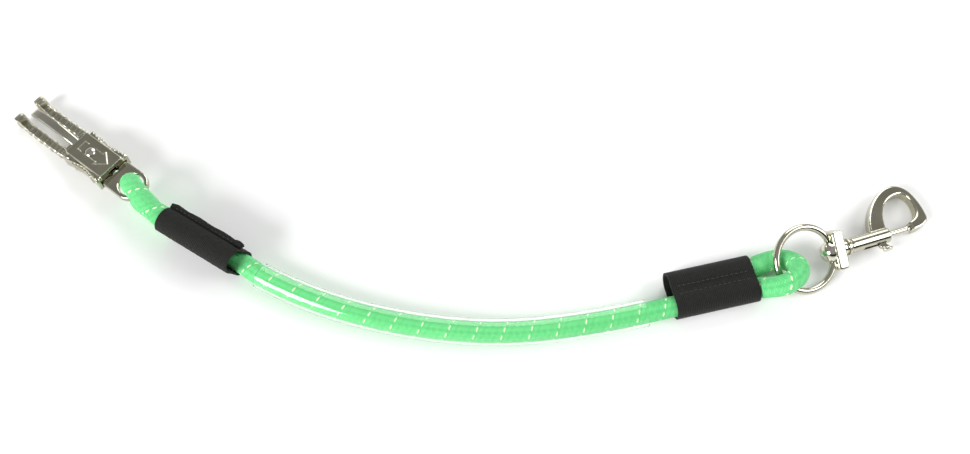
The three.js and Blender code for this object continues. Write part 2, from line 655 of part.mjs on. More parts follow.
/** Moves both frames from the point that the loop holds to the middle of the ring. */
function placeRing() {
  const angle = THREE.MathUtils.degToRad(RING_HELD_ANGLE);
  const held = new THREE.Vector3(RING_RADIUS * Math.cos(angle), RING_RADIUS * Math.sin(angle), 0);
  const middle = RING_HELD.clone().sub(held.applyEuler(ringFrame.rotation));
  for (const frame of [ringFrame, snapFrame]) {
    frame.position.copy(middle);
    frame.updateMatrixWorld(true);
  }
}

/** The hub's outline, with four round corners. */
function hubOutline() {
  const reach = HUB_LENGTH / 2 - HUB_CORNER;
  const rear = HUB_REAR + HUB_CORNER;
  const front = HUB_FRONT - HUB_CORNER;
  const outline = new THREE.Shape();
  outline.moveTo(HUB_REAR, -reach);
  outline.absarc(rear, reach, HUB_CORNER, Math.PI, Math.PI / 2, true);
  outline.absarc(front, reach, HUB_CORNER, Math.PI / 2, 0, true);
  outline.absarc(front, -reach, HUB_CORNER, 0, -Math.PI / 2, true);
  outline.absarc(rear, -reach, HUB_CORNER, -Math.PI / 2, -Math.PI, true);
  return outline;
}

/** The round ring and the hub that the snap turns in are one casting. */
function addRing() {
  const ring = new THREE.TorusGeometry(RING_RADIUS, RING_WIRE / 2, 8, 44);
  const hub = slab(hubOutline(), HUB_DEPTH, HUB_ROUND, 3);
  const bore = roundBar(HUB_REAR - RING_WIRE, HUB_FRONT + 1, SHANK_RADIUS + GAP);
  const headRoom = RIVET_HEAD_DIAMETER / 2 + GAP;
  const seat = roundBar(HUB_REAR - RIVET_HEAD_HEIGHT - GAP, HUB_REAR, headRoom);
  piece(ringFrame, "swivel_ring", cut(joined(ring, hub), bore, seat), NICKEL());
}

/** The domed rivet holds the snap in the hub, and its shank closes the back of the barrel. */
function addRivet() {
  const base = HUB_REAR - GAP;
  const head = domed(base, -RIVET_HEAD_HEIGHT, RIVET_HEAD_DIAMETER / 2).reverse();
  const profile = [...head, [base, SHANK_RADIUS], [SHANK_END, SHANK_RADIUS], [SHANK_END, 0]];
  piece(snapFrame, "swivel_rivet", turned(profile, 16), NICKEL());
}

function addWasher() {
  const bore = SHANK_RADIUS + GAP;
  const end = WASHER_REAR + WASHER_THICKNESS;
  const rim = bore + WASHER_RIM;
  const profile = [[WASHER_REAR, bore], [WASHER_REAR, rim], [end, rim], [end, bore], [WASHER_REAR, bore]];
  piece(snapFrame, "swivel_washer", turned(profile, 16), NICKEL());
}

/** The flat hook, drawn with the barrel along X: its outer edge, its seat for the bolt, and its inner edge. */
function crescentOutline() {
  const seat = BOLT_TIP + GAP;
  const fromBarrel = (values) => values.map((value, i) => (i % 2 === 0 ? BARREL_FRONT + value : value));
  const outline = new THREE.Shape();
  outline.moveTo(...fromBarrel(CRESCENT_ROOT));
  for (const curve of CRESCENT_OUTSIDE) outline.bezierCurveTo(...fromBarrel(curve));
  outline.bezierCurveTo(...fromBarrel(CRESCENT_NOSE), seat, CRESCENT_SEAT_LOW);
  outline.lineTo(seat, CRESCENT_SEAT_HIGH);
  for (const curve of CRESCENT_INSIDE) outline.bezierCurveTo(...fromBarrel(curve));
  return outline;
}

/** The barrel's outside, from its neck and flange to its front. */
function barrelOutside() {
  const neck = BARREL_RADIUS - NECK_DROP;
  const flange = BARREL_RADIUS + FLANGE_RISE;
  return turned(
    [
      [NECK_REAR, 0],
      [NECK_REAR, neck],
      [NECK_REAR + 1.2, neck],
      [NECK_REAR + 1.4, flange],
      [NECK_REAR + 2.6, flange],
      [NECK_REAR + 3, neck],
      [NECK_REAR + 4, neck],
      [NECK_REAR + 4.6, BARREL_RADIUS],
      [BARREL_FRONT - BARREL_EDGE, BARREL_RADIUS],
      [BARREL_FRONT, BARREL_RADIUS - BARREL_EDGE],
      [BARREL_FRONT, 0],
    ],
    20,
  );
}

/** The barrel and the flat hook are one casting. The plunger's bore, the bolt's bore and the thumb slot are cut. */
function addSnapBody() {
  const crescent = slab(crescentOutline(), CRESCENT_THICKNESS, CRESCENT_ROUND, 8);
  const bore = roundBar(NECK_REAR - 1, BARREL_FRONT - BARREL_FRONT_WALL, BARREL_BORE / 2);
  const nose = roundBar(PLUNGER_FRONT, BOLT_TIP + GAP, BOLT_ROD_DIAMETER / 2 + GAP);
  const thumbHalf = THUMB_WIDTH / 2 + GAP;
  const thumbSlot = block(
    [THUMB_REAR - BOLT_TRAVEL - 2 * GAP, -2 * BARREL_RADIUS, -thumbHalf],
    [THUMB_FRONT + 2 * GAP, 0, thumbHalf],
  );
  piece(snapFrame, "snap_body", cut(joined(barrelOutside(), crescent), bore, nose, thumbSlot), NICKEL());
}

/** The sliding bolt: plunger, rod with a collar at its tip, and the thumb piece that flares away from the barrel. */
function addBolt() {
  const rod = BOLT_ROD_DIAMETER / 2;
  const plunger = BARREL_BORE / 2 - GAP;
  const profile = [
    [PLUNGER_REAR, 0],
    [PLUNGER_REAR, plunger],
    [PLUNGER_FRONT, plunger],
    [PLUNGER_FRONT, rod],
    [BOLT_TIP, rod],
    [BOLT_TIP, 0],
  ];
  const root = -BARREL_RADIUS - GAP;
  const end = root - THUMB_HEIGHT;
  const thumb = new THREE.Shape();
  thumb.moveTo(THUMB_FRONT, 0);
  thumb.lineTo(THUMB_REAR, 0);
  thumb.lineTo(THUMB_REAR, root);
  thumb.quadraticCurveTo(THUMB_REAR, root - 2, THUMB_REAR + 2.4, root - 2.6);
  thumb.lineTo(THUMB_FRONT + THUMB_FLARE, end);
  thumb.quadraticCurveTo(THUMB_FRONT + THUMB_FLARE, root - 1.6, THUMB_FRONT, root);
  const flare = slab(thumb, THUMB_WIDTH, 0.5, 4);
  piece(snapFrame, "snap_bolt", joined(turned(profile, 14), flare), NICKEL());
}

function addBoltSpring() {
  const radius = BARREL_BORE / 2 - GAP - BOLT_SPRING_WIRE / 2;
  const coil = spring(SHANK_END + GAP, PLUNGER_REAR - GAP, radius, BOLT_SPRING_WIRE, BOLT_SPRING_TURNS);
  piece(snapFrame, "bolt_spring", coil, SPRING_STEEL());
}

// ---------------------------------------------------------------------------
// Assembly
// ---------------------------------------------------------------------------
addLeftSleeve();
addRightSleeve();
addRope();
addHose();
addHookBody();
addJaw();
addJawPin();
addCollar();
addCollarPin();
addCollarSpring();
addRing();
addRivet();
addWasher();
addSnapBody();
addBolt();
addBoltSpring();

export default lead;
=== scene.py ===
import logging
import math
from dataclasses import dataclass
from enum import Enum

import bmesh
import bpy
import numpy as np
from mathutils import Euler, Matrix, Vector


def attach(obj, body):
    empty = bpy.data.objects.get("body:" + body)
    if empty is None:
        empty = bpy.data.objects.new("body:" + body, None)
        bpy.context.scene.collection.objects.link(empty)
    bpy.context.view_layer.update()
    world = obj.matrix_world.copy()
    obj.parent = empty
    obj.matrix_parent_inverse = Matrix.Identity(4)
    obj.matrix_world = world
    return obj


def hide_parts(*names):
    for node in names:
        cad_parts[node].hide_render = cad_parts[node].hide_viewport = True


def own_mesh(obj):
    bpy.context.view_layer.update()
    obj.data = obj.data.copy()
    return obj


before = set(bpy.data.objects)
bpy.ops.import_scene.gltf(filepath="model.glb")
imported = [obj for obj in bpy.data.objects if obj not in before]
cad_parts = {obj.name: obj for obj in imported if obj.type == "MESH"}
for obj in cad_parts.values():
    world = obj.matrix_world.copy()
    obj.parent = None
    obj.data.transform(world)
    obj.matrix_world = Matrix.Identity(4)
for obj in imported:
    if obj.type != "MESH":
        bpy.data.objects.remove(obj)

LOG = logging.getLogger("tie_lead")
MM = 0.001
LEAST_RADIUS = 0.03  # millimetres, where a turned profile meets its axis
BAR_SIDES = 28
STITCH_MARGIN = 3.0  # millimetres, between a sleeve's end and its stitch row


class Moving(Enum):
    """The bodies that pieces ride on."""

    ROPE = "rope"
    HOOK = "hook"
    COLLAR = "collar"
    JAW = "jaw"
    RING = "ring"
    SNAP = "snap"
    BOLT = "bolt"


@dataclass(frozen=True)
class Placement:
    """Where a sub-assembly lies.

    Args:
        place: the middle of its own frame, in millimetres.
        yaw: turn about the upright, in degrees.
        pitch: turn about its cross axis, in degrees.
        roll: turn about its long axis, in degrees.
    """

    place: tuple[float, float, float]
    yaw: float
    pitch: float = 0.0
    roll: float = 0.0

    def matrix(self) -> Matrix:
        """Returns the matrix from the sub-assembly's millimetres to the lead's metres."""
        turn = Euler([math.radians(a) for a in (self.roll, self.pitch, self.yaw)], "XYZ").to_matrix().to_4x4()
        return Matrix.Scale(MM, 4) @ Matrix.Translation(self.place) @ turn

    def point(self, x: float, y: float, z: float) -> Vector:
        """Returns a point of the sub-assembly's frame in the lead's metres."""
        return self.matrix() @ Vector((x, y, z))

    def direction(self, x: float, y: float, z: float) -> Vector:
        """Returns a direction of the sub-assembly's frame in the lead's frame."""
        return (self.matrix().to_3x3() @ Vector((x, y, z))).normalized()


WORLD = Placement((0.0, 0.0, 0.0), 0.0)
EYE = Placement((-190.0, -1.1, 13.96), 142.0, 4.9)
RING_TURN = Placement((194.5, -47.1, 11.9), 19.5, 5.8, 30.0)
SNAP_TURN = Placement((194.5, -47.1, 11.9), 19.5, 5.8)
LEFT_MOUTH = Placement((-165.7, -23.6, 13.44), -32.0, 0.0, -68.0)
RIGHT_MOUTH = Placement((117.8, -67.9, 7.6), 13.2)


# ---------------------------------------------------------------------------
# Surfaces
# ---------------------------------------------------------------------------
class Shell:
    """A closed surface in a sub-assembly's own millimetres."""

    def __init__(self, points: np.ndarray, faces: list[tuple[int, ...]]) -> None:
        """Args:
            points: the corners, one row each.
            faces: the corner numbers of each face.
        """
        self.points = np.asarray(points, float)
        self.faces = faces

    @classmethod
    def lofted(cls, rings: np.ndarray, looped: bool = False) -> "Shell":
        """Joins rings of corners into a closed surface.

        Args:
            rings: an array of rings, corners and coordinates.
            looped: True where the last ring joins the first, instead of a face on each end.

        Returns:
            The closed surface.
        """
        count, around = rings.shape[:2]
        first = np.arange(count if looped else count - 1)[:, None] * around
        step = np.arange(around)[None, :]
        after = (step + 1) % around
        above = (first + around) % (count * around)
        quads = np.stack([first + step, first + after, above + after, above + step], -1).reshape(-1, 4)
        faces = [tuple(q) for q in quads.tolist()]
        if not looped:
            faces.append(tuple(range(around - 1, -1, -1)))
            faces.append(tuple(range((count - 1) * around, count * around)))
        return cls(rings.reshape(-1, 3), faces)

    def moved(self, x: float = 0.0, y: float = 0.0, z: float = 0.0) -> "Shell":
        """Returns the shell moved in its own frame."""
        return Shell(self.points + np.array((x, y, z)), self.faces)

    def swapped(self, order: tuple[int, int, int]) -> "Shell":
        """Returns the shell with its coordinates in another order."""
        return Shell(self.points[:, order], self.faces)


def round_angles(count: int) -> np.ndarray:
    """Returns evenly spaced angles round a circle, from zero."""
    return np.arange(count) * (2 * math.pi / count)


def unit(vectors: np.ndarray) -> np.ndarray:
    """Returns each row at a length of one."""
    return vectors / np.maximum(np.linalg.norm(vectors, axis=1, keepdims=True), 1e-9)


def turned(profile: list[tuple[float, float]], sides: int = 48) -> Shell:
    """Turns a profile about the X axis.

    Args:
        profile: pairs of place along X and radius, from one end to the other.
        sides: the number of sides.

    Returns:
        The closed surface.
    """
    angle = round_angles(sides)
    rings = []
    for x, radius in profile:
        r = max(radius, LEAST_RADIUS)
        rings.append(np.stack([np.full(sides, x), r * np.cos(angle), r * np.sin(angle)], -1))
    return Shell.lofted(np.array(rings))


def block(low: tuple[float, float, float], high: tuple[float, float, float]) -> Shell:
    """Returns a box between two corners."""
    square = np.array([(0, 0), (1, 0), (1, 1), (0, 1)], float)
    size = np.subtract(high, low)
    rings = [np.column_stack([square * size[:2] + low[:2], np.full(4, z)]) for z in (low[2], high[2])]
    return Shell.lofted(np.array(rings))


def inset(outline: np.ndarray, depth: float) -> np.ndarray:
    """Moves a closed outline inwards.

    Args:
        outline: the corners in order, anticlockwise.
        depth: how far each corner moves.

    Returns:
        The corners of the smaller outline.
    """
    along = np.roll(outline, -1, 0) - np.roll(outline, 1, 0)
    along = unit(along)
    return outline + depth * np.column_stack([-along[:, 1], along[:, 0]])


def slab(outline: np.ndarray, thickness: float, round_edge: float, steps: int = 3) -> Shell:
    """Makes a flat outline thick about z = 0, with rounded edges that stay inside the outline.

    Args:
        outline: the corners in order, anticlockwise.
        thickness: the whole thickness.
        round_edge: the radius of its edges.
        steps: the number of steps round an edge.

    Returns:
        The closed surface.
    """
    turns = np.linspace(0, math.pi / 2, steps + 1)
    lower = [(round_edge * (1 - math.sin(t)), -thickness / 2 + round_edge * (1 - math.cos(t))) for t in turns]
    levels = lower + [(depth, -z) for depth, z in reversed(lower)]
    rings = [np.column_stack([inset(outline, depth), np.full(len(outline), z)]) for depth, z in levels]
    return Shell.lofted(np.array(rings))


def smooth_line(points: np.ndarray, count: int) -> np.ndarray:
    """Samples a smooth line through points.

    Args:
        points: the points that it passes through.
        count: the number of samples.

    Returns:
        The samples, from the first point to the last.
    """
    held = np.vstack([2 * points[0] - points[1], points, 2 * points[-1] - points[-2]])
    where = np.linspace(0, len(points) - 1, count)
    part = np.minimum(where.astype(int), len(points) - 2)
    t = (where - part)[:, None]
    a, b, c, d = (held[part + i] for i in range(4))
    return 0.5 * (2 * b + (c - a) * t + (2 * a - 5 * b + 4 * c - d) * t**2 + (3 * b - a - 3 * c + d) * t**3)


def bar(spine: np.ndarray, width: float, heights: np.ndarray, corner: float = 0.28) -> Shell:
    """Sweeps a rounded rectangle along a spine in X and Z.

    Args:
        spine: the middle of the bar at each station, in X and Z.
        width: the bar's width along Y.
        heights: the bar's height at each station.
        corner: how round its corners are, from 0 to 1.

    Returns:
        The closed surface.
    """
    angle = round_angles(BAR_SIDES)
    power = 0.25 + corner
    side = np.sign(np.cos(angle)) * np.abs(np.cos(angle)) ** power * width / 2
    up = np.sign(np.sin(angle)) * np.abs(np.sin(angle)) ** power / 2
    along = unit(np.gradient(spine, axis=0))
    rings = []
    for (x, z), (dx, dz), height in zip(spine, along, heights):
        rings.append(np.column_stack([x - dz * up * height, side, z + dx * up * height]))
    return Shell.lofted(np.array(rings))


def bezier(
    start: tuple[float, float], curves: list[tuple[float, ...]], count: int = 14
) -> list[tuple[float, float]]:
    """Samples a chain of cubic curves.

    Args:
        start: where the chain starts.
        curves: two controls and an end for each curve, as six numbers.
        count: samples for each curve.

    Returns:
        The samples, with the start left out.
    """
    found: list[tuple[float, float]] = []
    at = np.array(start)
    for curve in curves:
        one, two, end = (np.array(curve[i : i + 2]) for i in (0, 2, 4))
        for t in np.linspace(0, 1, count + 1)[1:]:
            s = 1 - t
            found.append(tuple(s**3 * at + 3 * s * s * t * one + 3 * s * t * t * two + t**3 * end))
        at = end
    return found


# ---------------------------------------------------------------------------
# Objects
# ---------------------------------------------------------------------------
def linked(name: str, data: bpy.types.ID) -> bpy.types.Object:
    """Returns a new object that holds a mesh, light or camera and is in the scene."""
    made = bpy.data.objects.new(name, data)
    bpy.context.scene.collection.objects.link(made)
    return made


def mesh_of(name: str, shells: list[Shell], placement: Placement) -> bpy.types.Object:
    """Makes one object of closed surfaces.

    Args:
        name: the object's name.
        shells: the surfaces, in the sub-assembly's millimetres.
        placement: where the sub-assembly lies.

    Returns:
        The object, with its faces turned outwards.
    """
    mesh = bpy.data.meshes.new(name)
    points, faces, count = [], [], 0
    for shell in shells:
        points.append(shell.points)
        faces.extend(tuple(i + count for i in face) for face in shell.faces)
        count += len(shell.points)
    mesh.from_pydata(np.vstack(points).tolist(), [], faces)
    form = bmesh.new()
    form.from_mesh(mesh)
    bmesh.ops.recalc_face_normals(form, faces=form.faces)
    form.to_mesh(mesh)
    form.free()
    mesh.transform(placement.matrix())
    return linked(name, mesh)


def settle(obj: bpy.types.Object) -> None:
    """Applies every modifier of an object to its mesh."""
    evaluated = obj.evaluated_get(bpy.context.evaluated_depsgraph_get())
    mesh = bpy.data.meshes.new_from_object(evaluated)
    obj.modifiers.clear()
    old = obj.data
    obj.data = mesh
    bpy.data.meshes.remove(old)


def smooth_shade(obj: bpy.types.Object, sharp: float = 50.0) -> None:
    """Shades an object smooth, apart from edges sharper than the given angle in degrees."""
    obj.data.polygons.foreach_set("use_smooth", [True] * len(obj.data.polygons))
    obj.data.set_sharp_from_angle(angle=math.radians(sharp))


def shaded(name: str, shells: list[Shell], placement: Placement, sharp: float = 50.0) -> bpy.types.Object:
    """Makes one object of closed surfaces and shades it smooth.

    Args:
        name: the object's name.
        shells: the surfaces, in the sub-assembly's millimetres.
        placement: where the sub-assembly lies.
        sharp: the angle above which an edge stays sharp, in degrees.

    Returns:
        The object.
    """
    obj = mesh_of(name, shells, placement)
    smooth_shade(obj, sharp)
    return obj


def cast(
    name: str,
    shells: list[Shell],
    placement: Placement,
    grain: float = 0.3,
    passes: int = 4,
    cutters: tuple[Shell, ...] = (),
) -> bpy.types.Object:
    """Runs overlapping surfaces together as one casting with soft corners, and then cuts it.

    Args:
        name: the object's name.
        shells: the surfaces that run together.
        placement: where the sub-assembly lies.
        grain: the size of the casting's faces, in millimetres.
        passes: how much its corners are softened.
        cutters: closed surfaces that are cut away.

    Returns:
        The casting.
    """
    obj = mesh_of(name, shells, placement)
    fused = obj.modifiers.new("fused", "REMESH")
    fused.mode = "VOXEL"
    fused.voxel_size = grain * MM
    soft = obj.modifiers.new("soft", "SMOOTH")
    soft.factor = 0.5
    soft.iterations = passes
    settle(obj)
    for i, cutter in enumerate(cutters):
        tool = mesh_of(f"{name}_cutter_{i}", [cutter], placement)
        carve = obj.modifiers.new("carve", "BOOLEAN")
        carve.operation = "DIFFERENCE"
        carve.solver = "EXACT"
        carve.object = tool
        settle(obj)
        bpy.data.objects.remove(tool)
    smooth_shade(obj, 40.0)
    return obj


def give(obj: bpy.types.Object, name: str, values: np.ndarray) -> None:
    """Stores one number for each corner of an object, for its finish to read."""
    store = obj.data.attributes.new(name, "FLOAT", "POINT")
    store.data.foreach_set("value", np.asarray(values, np.float32).ravel())


def lay_map(obj: bpy.types.Object, across: np.ndarray, along: np.ndarray) -> None:
    """Stores how far across and along a fabric each corner is, in millimetres."""
    give(obj, "across", across)
    give(obj, "along", along)


# ---------------------------------------------------------------------------
# Finishes
# ---------------------------------------------------------------------------
Colour = tuple[float, float, float]


def fill_ramp(node: bpy.types.Node, stops: list[tuple[float, Colour]]) -> None:
    """Gives a colour ramp its stops."""
    elements = node.color_ramp.elements
    while len(elements) < len(stops):
        elements.new(0.5)
    for element, (place, colour) in zip(elements, stops):
        element.position = place
        element.color = (*colour, 1.0)


class Recipe:
    """A material's nodes, with short calls to add them."""

    def __init__(self, name: str) -> None:
        """Args:
            name: the material's name.
        """
        self.material = bpy.data.materials.new(name)
        self.material.use_nodes = True
        self.tree = self.material.node_tree
        self.shader = self.tree.nodes["Principled BSDF"]

    def add(self, kind: str, settings: dict[str, object] | None = None, **inputs: object) -> bpy.types.Node:
        """Adds a node.

        Args:
            kind: the node's type, without its usual start.
            settings: properties of the node.
            inputs: values or outputs for its inputs; an underscore stands for a space.

        Returns:
            The node.
        """
        node = self.tree.nodes.new("ShaderNode" + kind)
        for key, value in (settings or {}).items():
            setattr(node, key, value)
        for key, value in inputs.items():
            socket = node.inputs[key.replace("_", " ")]
            if isinstance(value, bpy.types.NodeSocket):
                self.tree.links.new(value, socket)
            else:
                socket.default_value = value
        return node

    def maths(self, operation: str, first: object, second: object = 0.0) -> bpy.types.NodeSocket:
        """Returns the result of a sum on numbers or outputs."""
        node = self.tree.nodes.new("ShaderNodeMath")
        node.operation = operation
        for socket, value in zip(node.inputs, (first, second)):
            if isinstance(value, bpy.types.NodeSocket):
                self.tree.links.new(value, socket)
            else:
                socket.default_value = value
        return node.outputs[0]

    def ramp(self, fac: bpy.types.NodeSocket, stops: list[tuple[float, Colour]]) -> bpy.types.NodeSocket:
        """Returns a colour that follows a number through stops."""
        node = self.tree.nodes.new("ShaderNodeValToRGB")
        fill_ramp(node, stops)
        self.tree.links.new(fac, node.inputs[0])
        return node.outputs[0]

    def grey(self, fac: bpy.types.NodeSocket, low: float, high: float) -> bpy.types.NodeSocket:
        """Returns a number that follows another from one value to a second one."""
        node = self.add("MapRange")
        node.inputs["To Min"].default_value = low
        node.inputs["To Max"].default_value = high
        self.tree.links.new(fac, node.inputs["Value"])
        return node.outputs[0]

    def mix(self, fac: object, one: object, two: object, kind: str = "MIX") -> bpy.types.NodeSocket:
        """Returns a blend of two colours."""
        return self.add("MixRGB", {"blend_type": kind}, Fac=fac, Color1=one, Color2=two).outputs[0]

    def noise(self, scale: float, detail: float = 3.0, stretch: Colour = (1, 1, 1)) -> bpy.types.NodeSocket:
        """Returns cloudy variation of the given scale, in cells per metre, fixed to the piece."""
        place = self.add("TexCoord").outputs["Object"]
        spread = self.add("Mapping", Vector=place, Scale=stretch).outputs[0]
        return self.add("TexNoise", Vector=spread, Scale=scale, Detail=detail).outputs["Fac"]

    def stored(self, name: str) -> bpy.types.NodeSocket:
        """Returns a number that was stored on the piece."""
        return self.add("Attribute", {"attribute_name": name}).outputs["Fac"]

    def relief(self, height: bpy.types.NodeSocket, strength: float, distance: float) -> None:
        """Adds relief on top of what the shader already has, with its depth in metres."""
        node = self.add("Bump", Height=height, Strength=strength, Distance=distance)
        normal = self.shader.inputs["Normal"]
        if normal.is_linked:
            self.tree.links.new(normal.links[0].from_socket, node.inputs["Normal"])
        self.tree.links.new(node.outputs[0], normal)

    def set(self, **values: object) -> None:
        """Sets or links the shader's own inputs; an underscore stands for a space."""
        for key, value in values.items():
            socket = self.shader.inputs[key.replace("_", " ")]
            if isinstance(value, bpy.types.NodeSocket):
                self.tree.links.new(value, socket)
            else:
                socket.default_value = value


@dataclass(frozen=True)
class Nickel:
    """Warm nickel plate over a cast surface.

    Args:
        name: the finish's name.
        tone: its colour on clean faces.
        worn: its colour on rubbed edges.
        gloss: roughness on the smoothest and the dullest patches.
        grain: strength of the casting's fine unevenness.
    """

    name: str
    tone: Colour = (0.50, 0.485, 0.375)
    worn: Colour = (0.86, 0.84, 0.76)
    gloss: tuple[float, float] = (0.07, 0.17)
    grain: float = 0.10

    def material(self) -> bpy.types.Material:
        """Returns the material."""
        r = Recipe(self.name)
        cloud = r.noise(70.0, 5.0)
        shade = r.ramp(cloud, [(0.3, tuple(0.84 * c for c in self.tone)), (0.7, self.tone)])
        pointed = r.add("NewGeometry").outputs["Pointiness"]
        rubbed = r.grey(r.maths("SUBTRACT", pointed, 0.5), 0.0, 14.0)
        rubbed = r.maths("MINIMUM", r.maths("MAXIMUM", rubbed, 0.0), 0.8)
        r.set(
            Base_Color=r.mix(rubbed, shade, (*self.worn, 1.0)),
            Metallic=1.0,
            Roughness=r.maths(
                "ADD", r.grey(cloud, *self.gloss), r.grey(r.noise(900.0, 2.0, (1, 0.06, 1)), -0.02, 0.04)
            ),
        )
        r.relief(r.noise(420.0, 3.0), self.grain, 0.00012)
        r.relief(r.noise(2600.0, 2.0), self.grain * 0.6, 0.00003)
        return r.material


@dataclass(frozen=True)
class SpringWire:
    """Drawn spring wire with fine lines along it."""

    name: str = "spring_wire"
    tone: Colour = (0.42, 0.42, 0.40)

    def material(self) -> bpy.types.Material:
        """Returns the material."""
        r = Recipe(self.name)
        lines = r.noise(2200.0, 3.0, (1, 1, 0.2))
        r.set(
            Base_Color=r.ramp(lines, [(0.3, tuple(0.6 * c for c in self.tone)), (0.7, self.tone)]),
            Metallic=1.0,
            Roughness=r.grey(lines, 0.25, 0.45),
        )
        r.relief(lines, 0.2, 0.00003)
        return r.material


@dataclass(frozen=True)
class BraidYarn:
    """The bright green braided sheath with a pale tracer yarn.

    Args:
        name: the finish's name.
        low: the painted shade colour in the dips between strands.
        mid: the colour of the duller strands.
        high: the colour of the brighter strands.
        tracer: the colour of the pale yarn.
        strands: strands each way round.
    """

    name: str = "braid_yarn"
    low: Colour = (0.035, 0.330, 0.085)
    mid: Colour = (0.105, 0.600, 0.190)
    high: Colour = (0.185, 0.750, 0.285)
    tracer: Colour = (0.84, 0.90, 0.62)
    strands: int = 16

    def _strand(self, r: Recipe) -> tuple[bpy.types.NodeSocket, ...]:
        """Works out which strand lies on top.

        Args:
            r: the recipe to add to.

        Returns:
            How far from the strand's middle, its number, and 1 where it is the tracer.
        """
        split = r.add("SeparateXYZ", Vector=r.add("UVMap").outputs[0])
        turn, along = split.outputs["X"], split.outputs["Y"]
        one = r.maths("MULTIPLY", r.maths("ADD", along, turn), self.strands)
        two = r.maths("MULTIPLY", r.maths("SUBTRACT", along, turn), self.strands)
        i, j = r.maths("FLOOR", one), r.maths("FLOOR", two)
        over = r.maths("LESS_THAN", r.maths("FLOORED_MODULO", r.maths("SUBTRACT", i, j), 4.0), 2.0)
        under = r.maths("SUBTRACT", 1.0, over)

        def pick(first: bpy.types.NodeSocket, second: bpy.types.NodeSocket) -> bpy.types.NodeSocket:
            """Returns the first number where the first strand is on top, and otherwise the second."""
            return r.maths("ADD", r.maths("MULTIPLY", over, first), r.maths("MULTIPLY", under, second))

        near = pick(r.maths("SUBTRACT", one, i), r.maths("SUBTRACT", two, j))
        off = r.maths("MULTIPLY", r.maths("ABSOLUTE", r.maths("SUBTRACT", near, 0.5)), 2.0)
        turn_i = r.maths("FLOORED_MODULO", i, self.strands)
        turn_j = r.maths("ADD", r.maths("FLOORED_MODULO", j, self.strands), 50.0)
        pale = r.maths("MULTIPLY", over, r.maths("LESS_THAN", turn_i, 0.5))
        return off, pick(turn_i, turn_j), r.maths("MULTIPLY", pale, r.maths("LESS_THAN", off, 0.9))

    def material(self) -> bpy.types.Material:
        """Returns the material."""
        r = Recipe(self.name)
        off, number, pale = self._strand(r)
        crown = r.maths("SUBTRACT", 1.0, r.maths("MULTIPLY", off, off))
        tint = r.add("TexWhiteNoise", {"noise_dimensions": "1D"}, W=number).outputs["Value"]
        band = r.maths("MULTIPLY", r.maths("ADD", tint, r.stored("band")), 0.5)
        body = r.ramp(band, [(0.15, self.mid), (0.85, self.high)])
        # painted shade: the dips between strands are darkened towards the low colour, following the strand
        # crown
        dip_shade = r.maths("MULTIPLY", r.maths("SUBTRACT", 1.0, crown), 0.55)
        body = r.mix(dip_shade, body, (*self.low, 1.0))
        body = r.mix(r.grey(r.noise(420.0, 4.0), 0.0, 0.25), body, (*self.mid, 1.0))
        r.set(
            Base_Color=r.mix(pale, body, (*self.tracer, 1.0)),
            Roughness=r.grey(r.noise(1500.0), 0.45, 0.7),
            Specular_IOR_Level=0.4,
            Sheen_Weight=0.2,
            Sheen_Roughness=0.4,
        )
        r.relief(crown, 0.5, 0.00016)
        r.relief(r.maths("SINE", r.maths("MULTIPLY", off, 13.0)), 0.3, 0.00004)
        r.relief(r.noise(5200.0, 2.0), 0.2, 0.00004)
        return r.material


@dataclass(frozen=True)
class CoreYarn:
    """Pale stretch strands inside the sheath."""

    name: str = "core_yarn"
    tone: Colour = (0.72, 0.69, 0.60)

    def material(self) -> bpy.types.Material:
        """Returns the material."""
        r = Recipe(self.name)
        lines = r.noise(1400.0, 4.0)
        r.set(
            Base_Color=r.ramp(lines, [(0.3, tuple(0.75 * c for c in self.tone)), (0.7, self.tone)]),
            Roughness=r.grey(lines, 0.7, 0.9),
            Sheen_Weight=0.2,
        )
        r.relief(lines, 0.4, 0.0002)
        return r.material


@dataclass(frozen=True)
class ClearVinyl:
    """Soft clear hose, glossy, with faint handling haze.

    Args:
        name: the finish's name.
        tint: the colour of light through it.
        haze: roughness where it is clear and where it is handled.
    """

    name: str = "clear_vinyl"
    tint: Colour = (0.97, 1.0, 0.975)
    haze: tuple[float, float] = (0.015, 0.075)

    def material(self) -> bpy.types.Material:
        """Returns the material."""
        r = Recipe(self.name)
        r.set(
            Base_Color=(*self.tint, 1.0),
            Transmission_Weight=1.0,
            IOR=1.42,
            Roughness=r.grey(r.noise(55.0, 4.0), *self.haze),
        )
        r.relief(r.noise(120.0, 2.0), 0.12, 0.0002)
        clear = r.add("BsdfTransparent", Color=(*self.tint, 1.0)).outputs[0]
        rays = r.add("LightPath").outputs
        shadow = r.maths("MAXIMUM", rays["Is Shadow Ray"], rays["Is Diffuse Ray"])
        both = r.add("MixShader")
        links = r.tree.links
        links.new(shadow, both.inputs[0])
        links.new(r.shader.outputs[0], both.inputs[1])
        links.new(clear, both.inputs[2])
        links.new(both.outputs[0], r.tree.nodes["Material Output"].inputs["Surface"])
        return r.material


